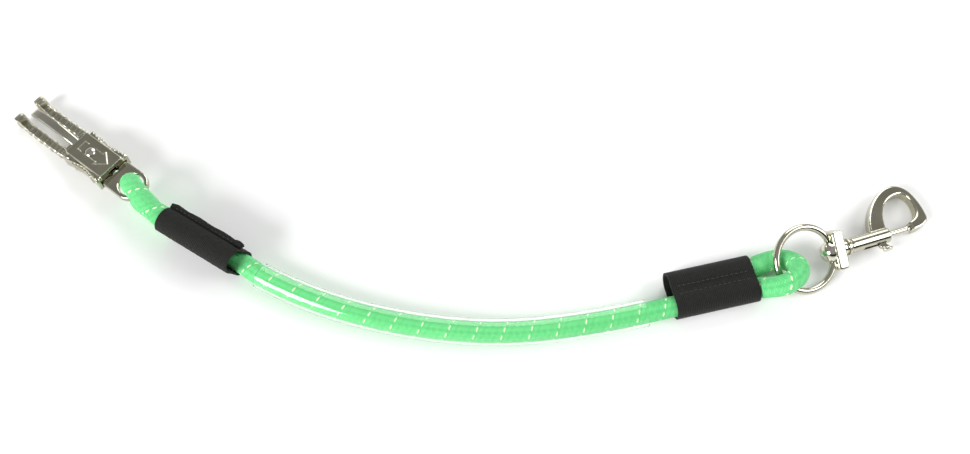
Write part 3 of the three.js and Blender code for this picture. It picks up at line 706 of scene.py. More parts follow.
@dataclass(frozen=True)
class BlackWeb:
    """Black webbing with cross ribs and fine lengthwise yarns, with painted shade between the ribs and
    painted highlight on them.

    Args:
        name: the finish's name.
        dip_shade: the painted shade colour between ribs.
        rib: the colour on the ribs, lighter as a painted highlight.
        ribs: ribs for each millimetre.
    """

    name: str = "black_webbing"
    dip_shade: Colour = (0.003, 0.003, 0.0025)
    rib: Colour = (0.018, 0.0185, 0.0155)
    ribs: float = 1.0

    def material(self) -> bpy.types.Material:
        """Returns the material."""
        r = Recipe(self.name)
        turn = 2 * math.pi
        # painted shade and highlight: the ridge term darkens the colour between ribs and lightens it on them;
        # the yarn and noise terms are real weave and tone variation
        ridge = r.maths("SINE", r.maths("MULTIPLY", r.stored("along"), turn * self.ribs))
        yarn = r.maths("SINE", r.maths("MULTIPLY", r.stored("across"), turn * 2.4))
        weave = r.maths("ADD", r.maths("MULTIPLY", ridge, 0.35), r.maths("MULTIPLY", yarn, 0.22))
        weave = r.maths("ADD", weave, r.grey(r.noise(700.0, 4.0), 0.2, 0.8))
        r.set(
            Base_Color=r.ramp(weave, [(0.1, self.dip_shade), (0.9, self.rib)]),
            Roughness=r.grey(weave, 0.9, 0.66),
            Specular_IOR_Level=0.2,
            Sheen_Weight=0.05,
            Sheen_Roughness=0.5,
        )
        r.relief(weave, 0.6, 0.00022)
        r.relief(r.noise(3600.0, 2.0), 0.25, 0.00006)
        return r.material


@dataclass(frozen=True)
class SewingThread:
    """Twisted dark thread."""

    name: str = "sewing_thread"
    low: Colour = (0.008, 0.008, 0.007)
    high: Colour = (0.040, 0.040, 0.035)

    def material(self) -> bpy.types.Material:
        """Returns the material."""
        r = Recipe(self.name)
        ply = r.noise(2400.0, 2.0, (1, 1, 2))
        r.set(Base_Color=r.ramp(ply, [(0.35, self.low), (0.65, self.high)]), Roughness=r.grey(ply, 0.75, 0.5))
        r.relief(ply, 0.5, 0.0001)
        return r.material


@dataclass(frozen=True)
class PaleFloor:
    """Plain pale floor, dull and even."""

    name: str = "pale_floor"
    tone: Colour = (0.93, 0.93, 0.93)

    def material(self) -> bpy.types.Material:
        """Returns the material."""
        r = Recipe(self.name)
        r.set(Base_Color=(*self.tone, 1.0), Roughness=0.9, Specular_IOR_Level=0.1)
        return r.material


@dataclass
class Finishes:
    """All the lead's materials.

    Args:
        cast_nickel: the hooks' castings.
        turned_nickel: the turned and drawn pieces.
        wire: springs and pins.
        braid: the rope's sheath.
        core: the rope's core.
        vinyl: the hose.
        web: the sleeves.
        thread: the stitches.
    """

    cast_nickel: bpy.types.Material
    turned_nickel: bpy.types.Material
    wire: bpy.types.Material
    braid: bpy.types.Material
    core: bpy.types.Material
    vinyl: bpy.types.Material
    web: bpy.types.Material
    thread: bpy.types.Material

    @classmethod
    def mixed(cls) -> "Finishes":
        """Returns the finishes, each made once."""
        return cls(
            Nickel("cast_nickel").material(),
            Nickel("turned_nickel", (0.60, 0.585, 0.49), gloss=(0.05, 0.13), grain=0.05).material(),
            SpringWire().material(),
            BraidYarn().material(),
            CoreYarn().material(),
            ClearVinyl().material(),
            BlackWeb().material(),
            SewingThread().material(),
        )


@dataclass
class Fitted:
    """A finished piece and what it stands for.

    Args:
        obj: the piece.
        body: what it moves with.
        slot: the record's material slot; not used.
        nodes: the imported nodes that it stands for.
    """

    obj: bpy.types.Object
    body: Moving
    slot: str
    nodes: tuple[str, ...]

    def fit(self, material: bpy.types.Material) -> bpy.types.Object:
        """Dresses the piece, lets it ride on its body and hides what it stands for.

        Args:
            material: the finish.

        Returns:
            The piece.
        """
        self.obj.data.materials.clear()
        self.obj.data.materials.append(material)
        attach(self.obj, self.body.value)
        if self.nodes:
            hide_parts(*self.nodes)
        LOG.info("%s: %d faces, rides on %s", self.obj.name, len(self.obj.data.polygons), self.body.value)
        return self.obj


# ---------------------------------------------------------------------------
# Rope, core and hose
# ---------------------------------------------------------------------------
class Route:
    """The rope's centreline, from its tail in the left sleeve to its tail in the right sleeve."""

    POINTS = (
        (-0.13133, -0.04786, 0.01928), (-0.14702, -0.03805, 0.01928), (-0.16271, -0.02825, 0.01928),
        (-0.16865, -0.02454, 0.01928), (-0.18512, -0.00806, 0.02320), (-0.18756, -0.00458, 0.02206),
        (-0.18935, -0.00203, 0.01895), (-0.19000, -0.00110, 0.01470), (-0.18935, -0.00203, 0.01045),
        (-0.18756, -0.00458, 0.00734), (-0.18512, -0.00806, 0.00620), (-0.16615, -0.02054, 0.00760),
        (-0.16021, -0.02425, 0.00760), (-0.14325, -0.03485, 0.00760), (-0.12629, -0.04544, 0.00760),
        (-0.12035, -0.04915, 0.00760), (-0.11150, -0.05520, 0.00760), (-0.09400, -0.06420, 0.00760),
        (-0.07250, -0.07300, 0.00760), (-0.04950, -0.08000, 0.00760), (-0.02650, -0.08500, 0.00760),
        (-0.00350, -0.08820, 0.00760), (0.01950, -0.08940, 0.00760), (0.04250, -0.08840, 0.00760),
        (0.06550, -0.08540, 0.00760), (0.08650, -0.08160, 0.00760), (0.10350, -0.07790, 0.00760),
        (0.11729, -0.07449, 0.00760), (0.12411, -0.07289, 0.00760), (0.14260, -0.06855, 0.00760),
        (0.16110, -0.06421, 0.00760), (0.16792, -0.06262, 0.00760), (0.17190, -0.06370, 0.01060),
        (0.17530, -0.06470, 0.01380), (0.17900, -0.06500, 0.01650), (0.18330, -0.06310, 0.01730),
        (0.18680, -0.06000, 0.01690), (0.18890, -0.05600, 0.01540), (0.18910, -0.05180, 0.01300),
        (0.18690, -0.04790, 0.01020), (0.18280, -0.04570, 0.00800), (0.17750, -0.04560, 0.00690),
        (0.17150, -0.04750, 0.00690), (0.16504, -0.05035, 0.00760), (0.15823, -0.05195, 0.00760),
        (0.14119, -0.05594, 0.00760), (0.12415, -0.05994, 0.00760),
    )
    HOSE = (16, 26)
    HIDDEN = ((0, 2), (12, 14), (28, 30), (44, 46))
    PARTS = 60

    def __init__(self) -> None:
        """Samples the smooth line through the points closely."""
        points = np.array(self.POINTS)
        held = np.vstack([2 * points[0] - points[1], points, 2 * points[-1] - points[-2]])
        line = []
        for i in range(len(points) - 1):
            line.append(self._between(*held[i : i + 4], np.linspace(0, 1, self.PARTS, endpoint=False)))
        self.line = np.vstack([*line, points[-1:]])
        steps = np.linalg.norm(np.diff(self.line, axis=0), axis=1)
        self.reach = np.concatenate([[0.0], np.cumsum(steps)])
        self.length = float(self.reach[-1])
        self._frames()

    @staticmethod
    def _between(a: np.ndarray, b: np.ndarray, c: np.ndarray, d: np.ndarray, t: np.ndarray) -> np.ndarray:
        """Returns the smooth line from b to c, with a and d on either side."""
        one, two, three = (np.sum((q - p) ** 2) ** 0.25 for p, q in ((a, b), (b, c), (c, d)))
        start = ((b - a) / one - (c - a) / (one + two) + (c - b) / two) * two
        end = ((c - b) / two - (d - b) / (two + three) + (d - c) / three) * two
        t = t[:, None]
        return b + start * t + (3 * (c - b) - 2 * start - end) * t**2 + (2 * (b - c) + start + end) * t**3

    def _frames(self) -> None:
        """Finds the direction and an untwisted side of the rope at each sample."""
        self.along = unit(np.gradient(self.line, axis=0))
        side = np.cross(self.along[0], (0, 0, 1))
        sides = []
        for along in self.along:
            side = side - along * side.dot(along)
            side = side / np.linalg.norm(side)
            sides.append(side)
        self.side = np.array(sides)

    def at(self, index: int) -> float:
        """Returns how far along the rope a point of the route is, in metres."""
        return float(self.reach[index * self.PARTS])

    def section(self, where: np.ndarray) -> tuple[np.ndarray, np.ndarray, np.ndarray]:
        """Finds the rope's middle and two cross directions.

        Args:
            where: distances along the rope, in metres.

        Returns:
            The middles, the sides and the third directions.
        """

        def read(values: np.ndarray) -> np.ndarray:
            """Returns values of the close samples at the distances asked for."""
            return np.column_stack([np.interp(where, self.reach, values[:, i]) for i in range(3)])

        middle, along, side = read(self.line), read(self.along), read(self.side)
        along = unit(along)
        side -= along * np.sum(side * along, axis=1, keepdims=True)
        side = unit(side)
        return middle, side, np.cross(along, side)

    def rings(self, where: np.ndarray, angle: np.ndarray, radius: np.ndarray) -> np.ndarray:
        """Lays rings round the centreline.

        Args:
            where: the distance of each ring along the rope, in metres.
            angle: the angle of each corner.
            radius: the radius of each ring and corner, in metres.

        Returns:
            The rings, in millimetres.
        """
        middle, side, third = self.section(where)
        cos, sin = np.cos(angle)[None, :, None], np.sin(angle)[None, :, None]
        out = cos * side[:, None, :] + sin * third[:, None, :]
        return (middle[:, None, :] + out * radius[:, :, None]) / MM


@dataclass
class BraidedRope:
    """A braided sheath over a stretch core.

    Args:
        route: the rope's centreline.
        radius: to the top of the strands, in metres.
        relief: how deep the dips between strands are, in metres.
        strands: strands each way round.
        pitch: the length in which a strand goes round once, in metres.
        sides: corners round a ring.
    """

    route: Route
    radius: float = 0.00596
    relief: float = 0.00045
    strands: int = 16
    pitch: float = 0.0149
    sides: int = 80

    HIDDEN_STEP = 0.0022  # metres between rings inside the sleeves
    HOSE_STEP = 0.00036
    BARE_STEP = 0.00034
    TAPER = 0.003  # metres over which each tail narrows
    CORE_RADIUS = 0.0037
    CORE_LOBE = 0.0004
    CORE_SHORT = 0.004  # metres that the core stops short of each tail's end

    def _stations(self) -> np.ndarray:
        """Returns where the rings are: closest where the rope is bare, and far apart inside the sleeves."""
        r = self.route
        hose = (r.at(r.HOSE[0]), r.at(r.HOSE[1]))
        hidden = [(r.at(a), r.at(b)) for a, b in r.HIDDEN]
        found, at = [], 0.0
        while at < r.length:
            found.append(at)
            covered = any(a < at < b for a, b in hidden)
            bare = self.HOSE_STEP if hose[0] < at < hose[1] else self.BARE_STEP
            at += self.HIDDEN_STEP if covered else bare
        return np.array([*found, r.length])

    def _weave(self, where: np.ndarray) -> tuple[np.ndarray, np.ndarray]:
        """Works out the braid at each ring and corner.

        Args:
            where: the distance of each ring along the rope, in metres.

        Returns:
            The height of the strand on top, and the slow bands along the rope.
        """
        n = self.strands
        u = (np.arange(self.sides) / self.sides)[None, :]
        v = (where / self.pitch)[:, None]
        a, b = n * (u + v), n * (v - u)
        i, j = np.floor(a), np.floor(b)
        over = np.mod(i - j, 4) < 2
        across = np.where(over, a - i, b - j) - 0.5
        run = np.where(over, np.mod(i - b + 1, 4), np.mod(a - j - 2, 4)) / 2
        crown = np.sqrt(np.clip(np.cos(math.pi * across), 0, 1))
        height = crown * (0.4 + 0.6 * np.sin(math.pi * np.clip(run, 0, 1)) ** 0.6)
        lane = np.random.default_rng(7).random(self.sides // 4).repeat(4)
        lane = 0.5 * lane + 0.25 * (np.roll(lane, 1) + np.roll(lane, -1))
        drift = 0.16 * np.sin(v * 0.55 + 2 * math.pi * u) + 0.08 * np.sin(v * 1.7)
        return height, np.clip(lane[None, :] + drift, 0, 1)

    def _lay_map(self, obj: bpy.types.Object, where: np.ndarray) -> None:
        """Stores the turn round the rope and the distance along it, in pitches, on each corner of each face.

        Args:
            obj: the sheath.
            where: the distance of each ring along the rope, in metres.
        """
        mesh = obj.data
        corners = np.zeros(len(mesh.loops), np.int32)
        mesh.loops.foreach_get("vertex_index", corners)
        step, ring = corners % self.sides, corners // self.sides
        quads = (len(where) - 1) * self.sides * 4
        closing = np.arange(quads) // 4 % self.sides == self.sides - 1
        step[:quads] += self.sides * ((step[:quads] == 0) & closing)
        layer = mesh.uv_layers.new(name="UVMap")
        values = np.column_stack([step / self.sides, where[ring] / self.pitch]).astype(np.float32)
        layer.data.foreach_set("uv", values.ravel())

    def sheath(self) -> Fitted:
        """Returns the braided sheath."""
        where = self._stations()
        angle = round_angles(self.sides)
        height, band = self._weave(where)
        radius = self.radius - self.relief * (1 - height)
        ends = np.minimum(where, self.route.length - where)
        radius *= (1 - 0.35 * np.clip(1 - ends / self.TAPER, 0, 1) ** 2)[:, None]
        obj = mesh_of("braided_sheath", [Shell.lofted(self.route.rings(where, angle, radius))], WORLD)
        self._lay_map(obj, where)
        give(obj, "band", band)
        smooth_shade(obj, 75.0)
        self.centres = self.route.section(where)[0]
        return Fitted(obj, Moving.ROPE, "braid", ("rope_sheath",))

    def core(self) -> Fitted:
        """Returns the core, a bundle of stretch strands with a slow twist."""
        where = np.linspace(self.CORE_SHORT, self.route.length - self.CORE_SHORT, 240)
        angle = round_angles(42)
        lobes = np.abs(np.sin(3.5 * (angle[None, :] + where[:, None] * 60)))
        rings = self.route.rings(where, angle, self.CORE_RADIUS + self.CORE_LOBE * lobes)
        obj = shaded("stretch_core", [Shell.lofted(rings)], WORLD)
        return Fitted(obj, Moving.ROPE, "core_yarn", ("rope_core",))


@dataclass
class ClearHose:
    """The clear hose over the middle of the rope.

    Args:
        route: the rope's centreline.
        bore: inner radius, in metres.
        outer: outer radius, in metres.
        lip: how round its cut ends are, in metres.
    """

    route: Route
    bore: float = 0.0064
    outer: float = 0.0075
    lip: float = 0.00025

    RINGS = 190
    SIDES = 72
    EDGE = 0.0001  # metres from a cut end to where its soft edge starts

    def hose(self) -> Fitted:
        """Returns the hose, a closed wall with soft cut ends."""
        r = self.route
        start, end = r.at(r.HOSE[0]), r.at(r.HOSE[1])
        where = np.linspace(start, end, self.RINGS)
        slow = 0.00004 * np.sin(where * 95)
        outside = np.clip(where, start + self.EDGE, end - self.EDGE)
        stations = np.concatenate([outside, [end], where[::-1], [start, start]])
        inner_lip, outer_lip = self.bore + self.lip, self.outer - self.lip
        inside = np.full(self.RINGS, self.bore)
        radii = np.concatenate([self.outer + slow, [outer_lip], inside, [inner_lip, outer_lip]])
        radius = np.repeat(radii[:, None], self.SIDES, 1)
        rings = r.rings(stations, round_angles(self.SIDES), radius)
        obj = shaded("clear_hose_wall", [Shell.lofted(rings, looped=True)], WORLD, 60.0)
        return Fitted(obj, Moving.ROPE, "clear_vinyl", ("clear_hose",))


# ---------------------------------------------------------------------------
# Sleeves
# ---------------------------------------------------------------------------
@dataclass
class WebSleeve:
    """A tube of webbing round two strands of rope.

    Args:
        name: the piece's name.
        node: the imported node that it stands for.
        placement: its mouth, with +X into the sleeve.
        length: its length.
        spread: between the two strands' middles.
        bore: round each strand.
        wall: the webbing's thickness.
        pinch: how far it is drawn in between the strands, at the top and at the bottom.
        rows: where stitch rows pull the top in, across the sleeve.
        seed: the start of its random creases.
        around: corners round its outline.
    """

    name: str
    node: str
    placement: Placement
    length: float
    spread: float = 12.6
    bore: float = 6.3
    wall: float = 1.2
    pinch: tuple[float, float] = (1.2, 0.8)
    rows: tuple[float, ...] = ()
    seed: int = 3
    around: int = 132

    VALLEY = 2.6  # millimetres, half the width of the dip between the strands

    def _outline(self, radius: float) -> tuple[np.ndarray, np.ndarray]:
        """Returns the long outline of the given radius, and how far round each corner is."""
        straight, curve = self.spread, math.pi * radius
        whole = 2 * (straight + curve)
        far = np.arange(self.around) * whole / self.around
        points = []
        for s in far:
            if s < straight:
                points.append((self.spread / 2 - s, radius))
            elif s < straight + curve:
                turn = (s - straight) / radius
                points.append((-self.spread / 2 - radius * math.sin(turn), radius * math.cos(turn)))
            elif s < 2 * straight + curve:
                points.append((-self.spread / 2 + s - straight - curve, -radius))
            else:
                turn = (s - 2 * straight - curve) / radius
                points.append((self.spread / 2 + radius * math.sin(turn), -radius * math.cos(turn)))
        return np.array(points), far

    def _wall(self, radius: float, stations: np.ndarray, outer: bool) -> tuple[np.ndarray, np.ndarray]:
        """Returns the rings of one face of the webbing and how far round each corner is."""
        outline, far = self._outline(radius)
        waves = np.random.default_rng(self.seed).random((5, 3))
        rings = []
        for x in stations:
            y, z = outline[:, 0], outline[:, 1].copy()
            share = x / self.length
            ends = min(1.0, 4 * min(share, 1 - share) + 0.35)
            valley = np.exp(-((y / self.VALLEY) ** 2)) * ends
            z -= np.where(z > 0, self.pinch[0], -self.pinch[1]) * valley
            crease = sum(w[0] * math.sin(9 * w[1] * share + 6.28 * w[2]) for w in waves) * 0.06
            z += crease * np.exp(-((y / 5.0) ** 2))
            if outer:
                rib = 0.5 + 0.5 * math.cos(2 * math.pi * x)
                z -= np.sign(z) * rib * (0.08 + 0.05 * np.sin(0.9 * far + 1.7 * math.floor(x + 0.5)))
                for row in self.rows:
                    pull = 0.20 + 0.26 * (0.5 - 0.5 * math.cos(2 * math.pi * (x - STITCH_MARGIN) / 2.7))
                    z -= np.where(z > 0, pull, 0.0) * np.exp(-(((y - row) / 0.75) ** 2)) * ends
            rings.append(np.column_stack([np.full(self.around, x), y, z]))
        return np.array(rings), far

    def tube(self) -> bpy.types.Object:
        """Returns the webbing tube with its ribs, creases and cut ends."""
        stations = np.linspace(0, self.length, int(self.length / 0.25) + 1)
        outer, far = self._wall(self.bore + self.wall, stations, True)
        coarse = np.linspace(self.length, 0, 40)
        inner, _ = self._wall(self.bore, coarse, False)
        rings = np.concatenate([outer, inner])
        obj = mesh_of(self.name, [Shell.lofted(rings, looped=True)], self.placement)
        lay_map(obj, np.tile(far, len(rings)), rings[:, :, 0])
        smooth_shade(obj, 60.0)
        return obj

    def fringe(self, x: float, count: int, width: float, z: float) -> list[Shell]:
        """Makes short loose yarns at a cut edge.

        Args:
            x: where the edge is.
            count: the number of yarns.
            width: how wide the edge is.
            z: how high the edge is.

        Returns:
            The yarns.
        """
        chance = np.random.default_rng(self.seed + 40)
        found = []
        for _ in range(count):
            start = np.array((x, chance.uniform(-width, width), z + chance.uniform(-0.4, 0.4)))
            lean = np.array([chance.uniform(*span) for span in ((0.3, 1.0), (-0.5, 0.5), (-0.3, 0.5))])
            line = np.array([start + lean * t * chance.uniform(1.0, 1.8) for t in np.linspace(0, 1, 5)])
            found.append(thread(line, 0.11))
        return found


def thread(line: np.ndarray, radius: float, sides: int = 7) -> Shell:
    """Returns a round thread along a line, thinner at both ends."""
    along = unit(np.gradient(line, axis=0))
    side = unit(np.cross(along, (0.31, 0.17, 0.93)))
    third = np.cross(along, side)
    angle = round_angles(sides)
    size = radius * np.sqrt(np.clip(np.sin(np.linspace(0.12, math.pi - 0.12, len(line))), 0.1, 1))
    out = np.cos(angle)[None, :, None] * side[:, None] + np.sin(angle)[None, :, None] * third[:, None]
    return Shell.lofted(line[:, None, :] + out * size[:, None, None])


def stitches(start: np.ndarray, end: np.ndarray, up: np.ndarray, pitch: float, seed: int) -> list[Shell]:
    """Sews a row of stitches.

    Args:
        start: where the row starts.
        end: where it ends.
        up: the way that the stitches stand proud.
        pitch: the length of one stitch.
        seed: the start of the small unevenness.

    Returns:
        The stitches, each a short arched thread.
    """
    chance = np.random.default_rng(seed)
    count = int(np.linalg.norm(end - start) / pitch)
    along = (end - start) / count
    side = np.cross(along / np.linalg.norm(along), up)
    found = []
    for i in range(count):
        near, far = (start + along * (i + s) + side * chance.uniform(-0.14, 0.14) for s in (0.08, 0.92))
        share = np.linspace(0, 1, 7)[:, None]
        found.append(thread(near + (far - near) * share + up * 0.24 * np.sin(math.pi * share), 0.3))
    return found


class LeftSleeve(WebSleeve):
    """The left sleeve, whose two webbing ends are sewn together in a fin along one side."""

    FIN = 3.4  # how far the fin stands up from the tube
    STITCH = 2.6

    def build(self, finishes: Finishes) -> list[bpy.types.Object]:
        """Makes and dresses the sleeve, its fin and its stitches.

        Args:
            finishes: the materials.

        Returns:
            The pieces.
        """
        body = self.tube()
        parts = [body, self._fin()]
        with bpy.context.temp_override(active_object=body, selected_editable_objects=parts, object=body):
            bpy.ops.object.join()
        smooth_shade(body, 60.0)
        up = self.bore + self.wall + 1.4
        face = -self.spread / 2 - 0.12
        start, end = (np.array((x, face, up)) for x in (STITCH_MARGIN, self.length - STITCH_MARGIN))
        row = stitches(start, end, np.array((0.0, -1.0, 0.0)), self.STITCH, 5)
        rows = shaded("left_stitches", row, self.placement)
        return [
            Fitted(body, Moving.ROPE, "webbing", (self.node,)).fit(finishes.web),
            Fitted(rows, Moving.ROPE, "thread", ("stitch_row_left",)).fit(finishes.thread),
        ]

    def _fin(self) -> bpy.types.Object:
        """Returns the two sewn layers that stand up along the sleeve, stepped at one end and rumpled
        at the other.
        """
        base, top = self.bore + 0.3, self.bore + self.wall + self.FIN
        shells, along = [], []
        for layer, (first, last) in enumerate(((0.0, self.length), (2.6, self.length - 0.4))):
            y = -self.spread / 2 + 0.05 + layer * 1.22
            rings = []
            for x in np.arange(first, last, 0.25):
                share = x / self.length
                rise = top + 0.22 * math.sin(x * 0.37 + layer) - 0.6 * max(0.0, 1 - x / 3)
                lean = 0.45 * math.sin(x * 0.21 + 2 * layer) * share
                rib = 0.06 * math.cos(2 * math.pi * x)
                half = 0.52 + rib
                profile = [(y - half, base), (y + half, base), (y + half + lean, rise - 0.3)]
                profile += [(y + half * 0.5 + lean, rise), (y - half * 0.5 + lean, rise)]
                profile += [(y - half + lean, rise - 0.3)]
                rings.append([(x, *p) for p in profile])
            shell = Shell.lofted(np.array(rings))
            shells.append(shell)
            along.append(shell.points[:, 0])
        lump = self._lump()
        shells.append(lump)
        along.append(lump.points[:, 0] * 1.3)
        loose = self.fringe(self.length - 1.0, 16, 1.2, top - 0.8)
        loose = [s.moved(y=-self.spread / 2) for s in loose]
        shells.extend(loose)
        along.extend(s.points[:, 0] for s in loose)
        obj = mesh_of("left_fin", shells, self.placement)
        points = np.vstack([s.points for s in shells])
        lay_map(obj, points[:, 2] + points[:, 1], np.concatenate(along))
        return obj

    def _lump(self) -> Shell:
        """Returns the folded end of the webbing, tucked over at the far end of the fin."""
        chance = np.random.default_rng(11)
        rings = []
        for t in np.linspace(0, 1, 22):
            size = math.sin(math.pi * (0.06 + 0.88 * t)) ** 0.5
            angle = round_angles(30)
            wobble = 1 + 0.10 * np.sin(3 * angle + 5 * t) + 0.03 * chance.standard_normal(30)
            y = -self.spread / 2 + 0.5 + 1.9 * size * wobble * np.cos(angle)
            z = self.bore + 3.1 + 1.9 * size * wobble * np.sin(angle)
            x = self.length - 6.6 + 6.8 * t + 0.35 * np.sin(2 * angle)
            rings.append(np.column_stack([np.broadcast_to(x, 30), y, z]))
        return Shell.lofted(np.array(rings))


class RightSleeve(WebSleeve):
    """The right sleeve, sewn flat between its two strands."""

    STITCH = 2.7

    def build(self, finishes: Finishes) -> list[bpy.types.Object]:
        """Makes and dresses the sleeve and its two rows of stitches.

        Args:
            finishes: the materials.

        Returns:
            The pieces.
        """
        body, loose = self.tube(), mesh_of("right_fringe", self._fringes(), self.placement)
        points = np.array([v.co for v in loose.data.vertices]) / MM
        lay_map(loose, points[:, 1], points[:, 0])
        parts = [body, loose]
        with bpy.context.temp_override(active_object=body, selected_editable_objects=parts, object=body):
            bpy.ops.object.join()
        smooth_shade(body, 60.0)
        made = [Fitted(body, Moving.ROPE, "webbing", (self.node,)).fit(finishes.web)]
        for i, (mark, y) in enumerate(zip("ab", self.rows)):
            height = self.bore + self.wall - 0.22 - self.pinch[0] * math.exp(-((y / self.VALLEY) ** 2))
            start, end = (np.array((x, y, height)) for x in (STITCH_MARGIN, self.length - STITCH_MARGIN))
            row = stitches(start, end, np.array((0.0, 0.0, 1.0)), self.STITCH, 20 + i)
            rows = shaded(f"right_stitches_{mark}", row, self.placement)
            piece = Fitted(rows, Moving.ROPE, "thread", (f"stitch_row_right_{mark}",))
            made.append(piece.fit(finishes.thread))
        return made

    def _fringes(self) -> list[Shell]:
        """Returns the few loose yarns at the sleeve's far end."""
        return self.fringe(self.length - 0.6, 10, 5.0, self.bore + self.wall * 0.5)


# ---------------------------------------------------------------------------
# Panic hook
# ---------------------------------------------------------------------------
@dataclass
class PanicHook:
    """The quick-release hook: fork, jaw, sliding collar, spring and pins.

    Args:
        placement: the middle of its eye, with +X towards the prongs.
        eye_hole: the eye's hole radius.
        eye_rim: the width of the rim round it.
        plate: the eye plate's thickness.
        plate_end: where the plate ends.
        rear: the collar's rear.
        front: the collar's front.
        pivot: the jaw's pin.
        reach: the length of the prongs and the jaw.
        travel: how far the collar slides.
        stop: where the collar's inner wall, which the spring bears on, starts and ends.
    """

    placement: Placement = EYE
    eye_hole: float = 7.2
    eye_rim: float = 2.6
    plate: float = 4.0
    plate_end: float = 16.0
    rear: float = 15.0
    front: float = 46.0
    pivot: tuple[float, float, float] = (42.0, 0.0, 0.5)
    reach: float = 45.0
    travel: float = 7.0
    stop: tuple[float, float] = (31.5, 35.4)

    PRONG_SIDE = 7.8  # from the middle of the hook to the middle of a prong
    ROD_RADIUS = 2.8
    ROD_BORE = 3.1
    SPRING_BORE = 4.7
    PIN_RADIUS = 1.4
    PIN_HOLE = 1.7
    PIN_SEAT = 3.6
    STATIONS = 60

    def _plate(self) -> Shell:
        """Returns the eye plate, with a hole and a rounded rim."""
        sides, half = 72, self.eye_hole + self.eye_rim
        angle = np.linspace(0, 2 * math.pi, sides, endpoint=False)
        ray = np.column_stack([np.cos(angle), np.sin(angle)])
        ahead = ray[:, :1] > 0.02
        flat = np.where(ahead, np.maximum(np.abs(ray[:, 1:]) / half, ray[:, :1] / self.plate_end), 1e-9)
        outer = np.where(ahead, ray / np.maximum(flat, 1e-9), ray * half)
        reach = np.linalg.norm(outer, axis=1, keepdims=True)
        rings = []
        for turn in np.linspace(0, 2 * math.pi, 20, endpoint=False):
            out, up = math.cos(turn), math.sin(turn)
            share = np.sign(out) * abs(out) ** 0.45
            edge = self.eye_hole + (reach - self.eye_hole) * (0.5 + 0.5 * share)
            height = math.copysign(abs(up) ** 0.45, up) * self.plate / 2
            rings.append(np.column_stack([ray * edge, np.full(sides, height)]))
        return Shell.lofted(np.array(rings), looped=True)

    def _prong(self, side: int) -> list[Shell]:
        """Returns one prong with its knurls and its grooved knob.

        Args:
            side: +1 or -1.

        Returns:
            The overlapping surfaces.
        """
        y, start = side * self.PRONG_SIDE, self.front + 1.2
        shares = np.array(
            [(0, -1.6), (0.12, -3.2), (0.3, -4.6), (0.52, -5), (0.74, -4.8), (0.9, -3.4), (1, -0.8)]
        )
        spine = smooth_line(shares * (self.reach, 1), self.STATIONS) + (start, 0)
        shells = [bar(spine, 5.2, np.linspace(5.2, 4.1, self.STATIONS), 0.2).moved(y=y)]
        for i, k in enumerate(range(7, 52, 5)):
            wide = 6.2 if i % 2 else 5.7
            shells.append(bar(spine[k : k + 3], wide, np.array((4.8, 6.0, 4.8)), 0.1).moved(y=y))
        middle = start + self.reach - 1.0
        for dx, size in ((-2.6, 0.86), (-0.9, 1.0), (0.9, 1.0), (2.5, 0.84)):
            ring = slab(self._ellipse(0.78, 4.0 * size), 6.8 * size, 0.5)
            shells.append(ring.swapped((0, 2, 1)).moved(middle + dx, y, -0.4))
        shells.append(slab(self._ellipse(3.2, 3.4), 6.0, 1.4).swapped((0, 2, 1)).moved(middle, y, -0.4))
        return shells

    @staticmethod
    def _ellipse(a: float, b: float) -> np.ndarray:
        """Returns an ellipse's outline."""
        angle = round_angles(32)
        return np.column_stack([a * np.cos(angle), b * np.sin(angle)])

    def fork(self) -> Fitted:
        """Returns the fork: eye plate, guide rod, root and prongs in one casting."""
        rod = turned([(13.4, self.ROD_RADIUS), (37.0, self.ROD_RADIUS)])
        rear, front, half = self.stop[1], 49.0, 7.3
        root = slab(np.array([(rear, -half), (front, -half), (front, half), (rear, half)]), 9.6, 0.5)
        shells = [self._plate(), rod, root, *self._prong(1), *self._prong(-1)]
        slot = block((38.3, -3.0, -3.2), (52.0, 3.0, 9.0))
        hole = turned([(-12, self.PIN_HOLE), (12, self.PIN_HOLE)], 32).swapped((1, 0, 2)).moved(*self.pivot)
        obj = cast("fork_casting", shells, self.placement, 0.27, 3, (slot, hole))
        return Fitted(obj, Moving.HOOK, "nickel", ("hook_body",))

    def jaw(self) -> Fitted:
        """Returns the jaw that swings up when the collar is drawn back."""
        shares = np.array([(0, 0), (0.14, 1.7), (0.34, 4.2), (0.56, 5.2), (0.78, 4.6), (0.92, 3.2), (1, 1.8)])
        spine = smooth_line(shares * (self.reach, 1), self.STATIONS)
        heights = np.interp(np.linspace(0, 1, self.STATIONS), (0, 0.9, 1), (4.6, 3.4, 2.6))
        arm = bar(spine, 5.4, heights, 0.12)
        knuckle = turned([(-2.7, 3.0), (-2.3, 3.4), (2.3, 3.4), (2.7, 3.0)]).swapped((1, 0, 2))
        hole = turned([(-6, self.PIN_HOLE), (6, self.PIN_HOLE)], 32).swapped((1, 0, 2))
        shells = [s.moved(*self.pivot) for s in (arm, knuckle)]
        obj = cast("jaw_casting", shells, self.placement, 0.24, 3, (hole.moved(*self.pivot),))
        return Fitted(obj, Moving.JAW, "nickel", ("hook_jaw",))

    def _half_width(self, share: float) -> float:
        """Returns half the collar's width at a share of its length."""
        return (23.8 - 4.4 * (0.5 - 0.5 * math.cos(2 * math.pi * share))) / 2

